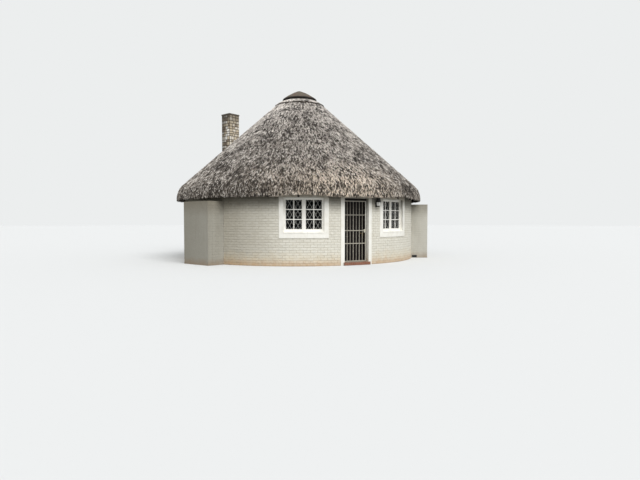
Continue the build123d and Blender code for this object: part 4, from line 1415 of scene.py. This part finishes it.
@dataclass
class Lantern:
    """The cage round the wall lantern's glass, and its finial."""

    bearing: float = 10.1  # Where it hangs.
    radius: float = 4.668  # Its axis from the hut's axis.
    low: tuple[float, float] = (1.970, 0.060)  # Height and half width of the glass's foot.
    high: tuple[float, float] = (2.100, 0.075)  # Height and half width of the glass's top.
    top: float = 2.255  # Height of the knob on its roof.
    wire: Corner = (0.004, 0.005, 0.013)  # Radius of an upright, of a ring's bar and of the ball.

    def build(self) -> None:
        """A bar at each corner, a ring at both ends, and a ball on the knob."""
        bm = bmesh.new()
        place = facing(self.bearing, self.radius)
        corners = [
            [place @ Vector((r * cos(i * pi / 3), r * sin(i * pi / 3), z)) for i in range(6)]
            for z, r in (self.low, self.high)
        ]
        upright, ring_bar, ball = self.wire
        for i in range(6):
            rod(bm, corners[0][i], corners[1][i], upright)
            for ring in corners:
                rod(bm, ring[i], ring[(i + 1) % 6], ring_bar)
        knob = place @ moved(0, 0, self.top - 0.004)
        bmesh.ops.create_uvsphere(bm, u_segments=16, v_segments=10, radius=ball, matrix=knob)
        piece("lantern_cage", bm, LANTERN_COAT)


@dataclass
class Stage:
    """The floor, the light and the camera at the photograph's place."""

    eye: Corner = (-8.327, -18.192, 1.46)  # Where the camera stands.
    turn: float = -27.0  # Where it looks, in degrees to the left of straight ahead.
    tip: float = 90 - 2.26  # How far it is tipped up from straight down, in degrees.
    lens: float = 27.0  # Its focal length for a sensor 36 mm wide.
    # The floor's colour as it lights the hut, and as it is seen.
    floor_shades: tuple[str, str] = ("#8f8f8c", "#d7d8d7")
    # The dome's colour as it lights the hut, and as it is seen.
    sky_shades: tuple[str, str] = ("#f2f4f7", "#eceeee")
    sky_light: float = 0.62  # The dome's strength as it lights the hut.
    key: Sides = (0.0, 50.0, 50.0, 2.8)  # Bearing, height, width and strength of the main lamp.
    fill: Sides = (-75.0, 30.0, 70.0, 0.15)  # The same of the lamp that lightens the left side.

    def build(self) -> None:
        """Set the stage."""
        scene = bpy.context.scene
        scene.view_settings.view_transform = "Standard"
        self.floor()
        self.sky()
        self.sun("key", *self.key)
        self.sun("fill", *self.fill)
        data = bpy.data.cameras.new("camera")
        data.lens, data.sensor_width, data.clip_end = self.lens, 36.0, 500.0
        camera = bpy.data.objects.new("camera", data)
        scene.collection.objects.link(camera)
        camera.location = self.eye
        camera.rotation_euler = (radians(self.tip), 0.0, radians(self.turn))
        scene.camera = camera

    @staticmethod
    def seen(tree: Tree) -> Socket:
        """Tell the rays that show a background from those that only bring its light.

        Args:
            tree: The material's or the world's node tree.

        Returns:
            1 for a ray from the camera, off gloss or through glass.
        """
        path = add(tree, "ShaderNodeLightPath").outputs
        direct = {0: path["Is Camera Ray"], 1: path["Is Glossy Ray"]}
        first = add(tree, "ShaderNodeMath", direct, operation="MAXIMUM").outputs[0]
        shown = {0: first, 1: path["Is Transmission Ray"]}
        return add(tree, "ShaderNodeMath", shown, operation="MAXIMUM").outputs[0]

    def floor(self) -> None:
        """A plain pale floor, just under the ground line."""
        bm = bmesh.new()
        bmesh.ops.create_circle(bm, cap_ends=True, segments=96, radius=160.0)
        mesh = finished(bm, "floor")
        floor = bpy.data.objects.new("floor", mesh)
        floor.location.z = -0.002
        bpy.context.scene.collection.objects.link(floor)
        paint = bpy.data.materials.new("floor")
        paint.use_nodes = True
        tree = paint.node_tree
        lit, shown = (linear(shade) for shade in self.floor_shades)
        mix = add(tree, "ShaderNodeMix", {0: self.seen(tree), 6: lit, 7: shown}, data_type="RGBA")
        shader = tree.nodes["Principled BSDF"]
        tree.links.new(mix.outputs[2], shader.inputs["Base Color"])
        shader.inputs["Roughness"].default_value = 0.95
        mesh.materials.append(paint)

    def sky(self) -> None:
        """An even pale dome."""
        world = bpy.data.worlds.new("sky")
        bpy.context.scene.world = world
        world.use_nodes = True
        tree = world.node_tree
        tree.nodes.clear()
        light, shown = (
            add(tree, "ShaderNodeBackground", {"Color": linear(shade), "Strength": strength}).outputs[0]
            for shade, strength in zip(self.sky_shades, (self.sky_light, 1.0))
        )
        mixed = add(tree, "ShaderNodeMixShader", {0: self.seen(tree), 1: light, 2: shown})
        add(tree, "ShaderNodeOutputWorld", {"Surface": mixed.outputs[0]})

    @staticmethod
    def sun(name: str, bearing: float, height: float, spread: float, strength: float) -> None:
        """A wide soft lamp far away.

        Args:
            name: The lamp's name.
            bearing: Degrees round the hut from the door.
            height: Degrees above the ground.
            spread: The lamp's apparent width in degrees.
            strength: Its strength.
        """
        data = bpy.data.lights.new(name, "SUN")
        data.angle, data.energy = radians(spread), strength
        lamp = bpy.data.objects.new(name, data)
        bpy.context.scene.collection.objects.link(lamp)
        lamp.rotation_euler = (radians(90 - height), 0.0, radians(bearing))


def main() -> None:
    """Build every piece in order."""
    logging.basicConfig(level=logging.INFO, format="%(name)s: %(message)s")
    Stage().build()
    dress_cad()
    for part in (Brickwork(), Thatch(), CrownCap(), Windows(), Doorway(), Chimney(), Lantern()):
        part.build()


if __name__ == "__main__":
    main()
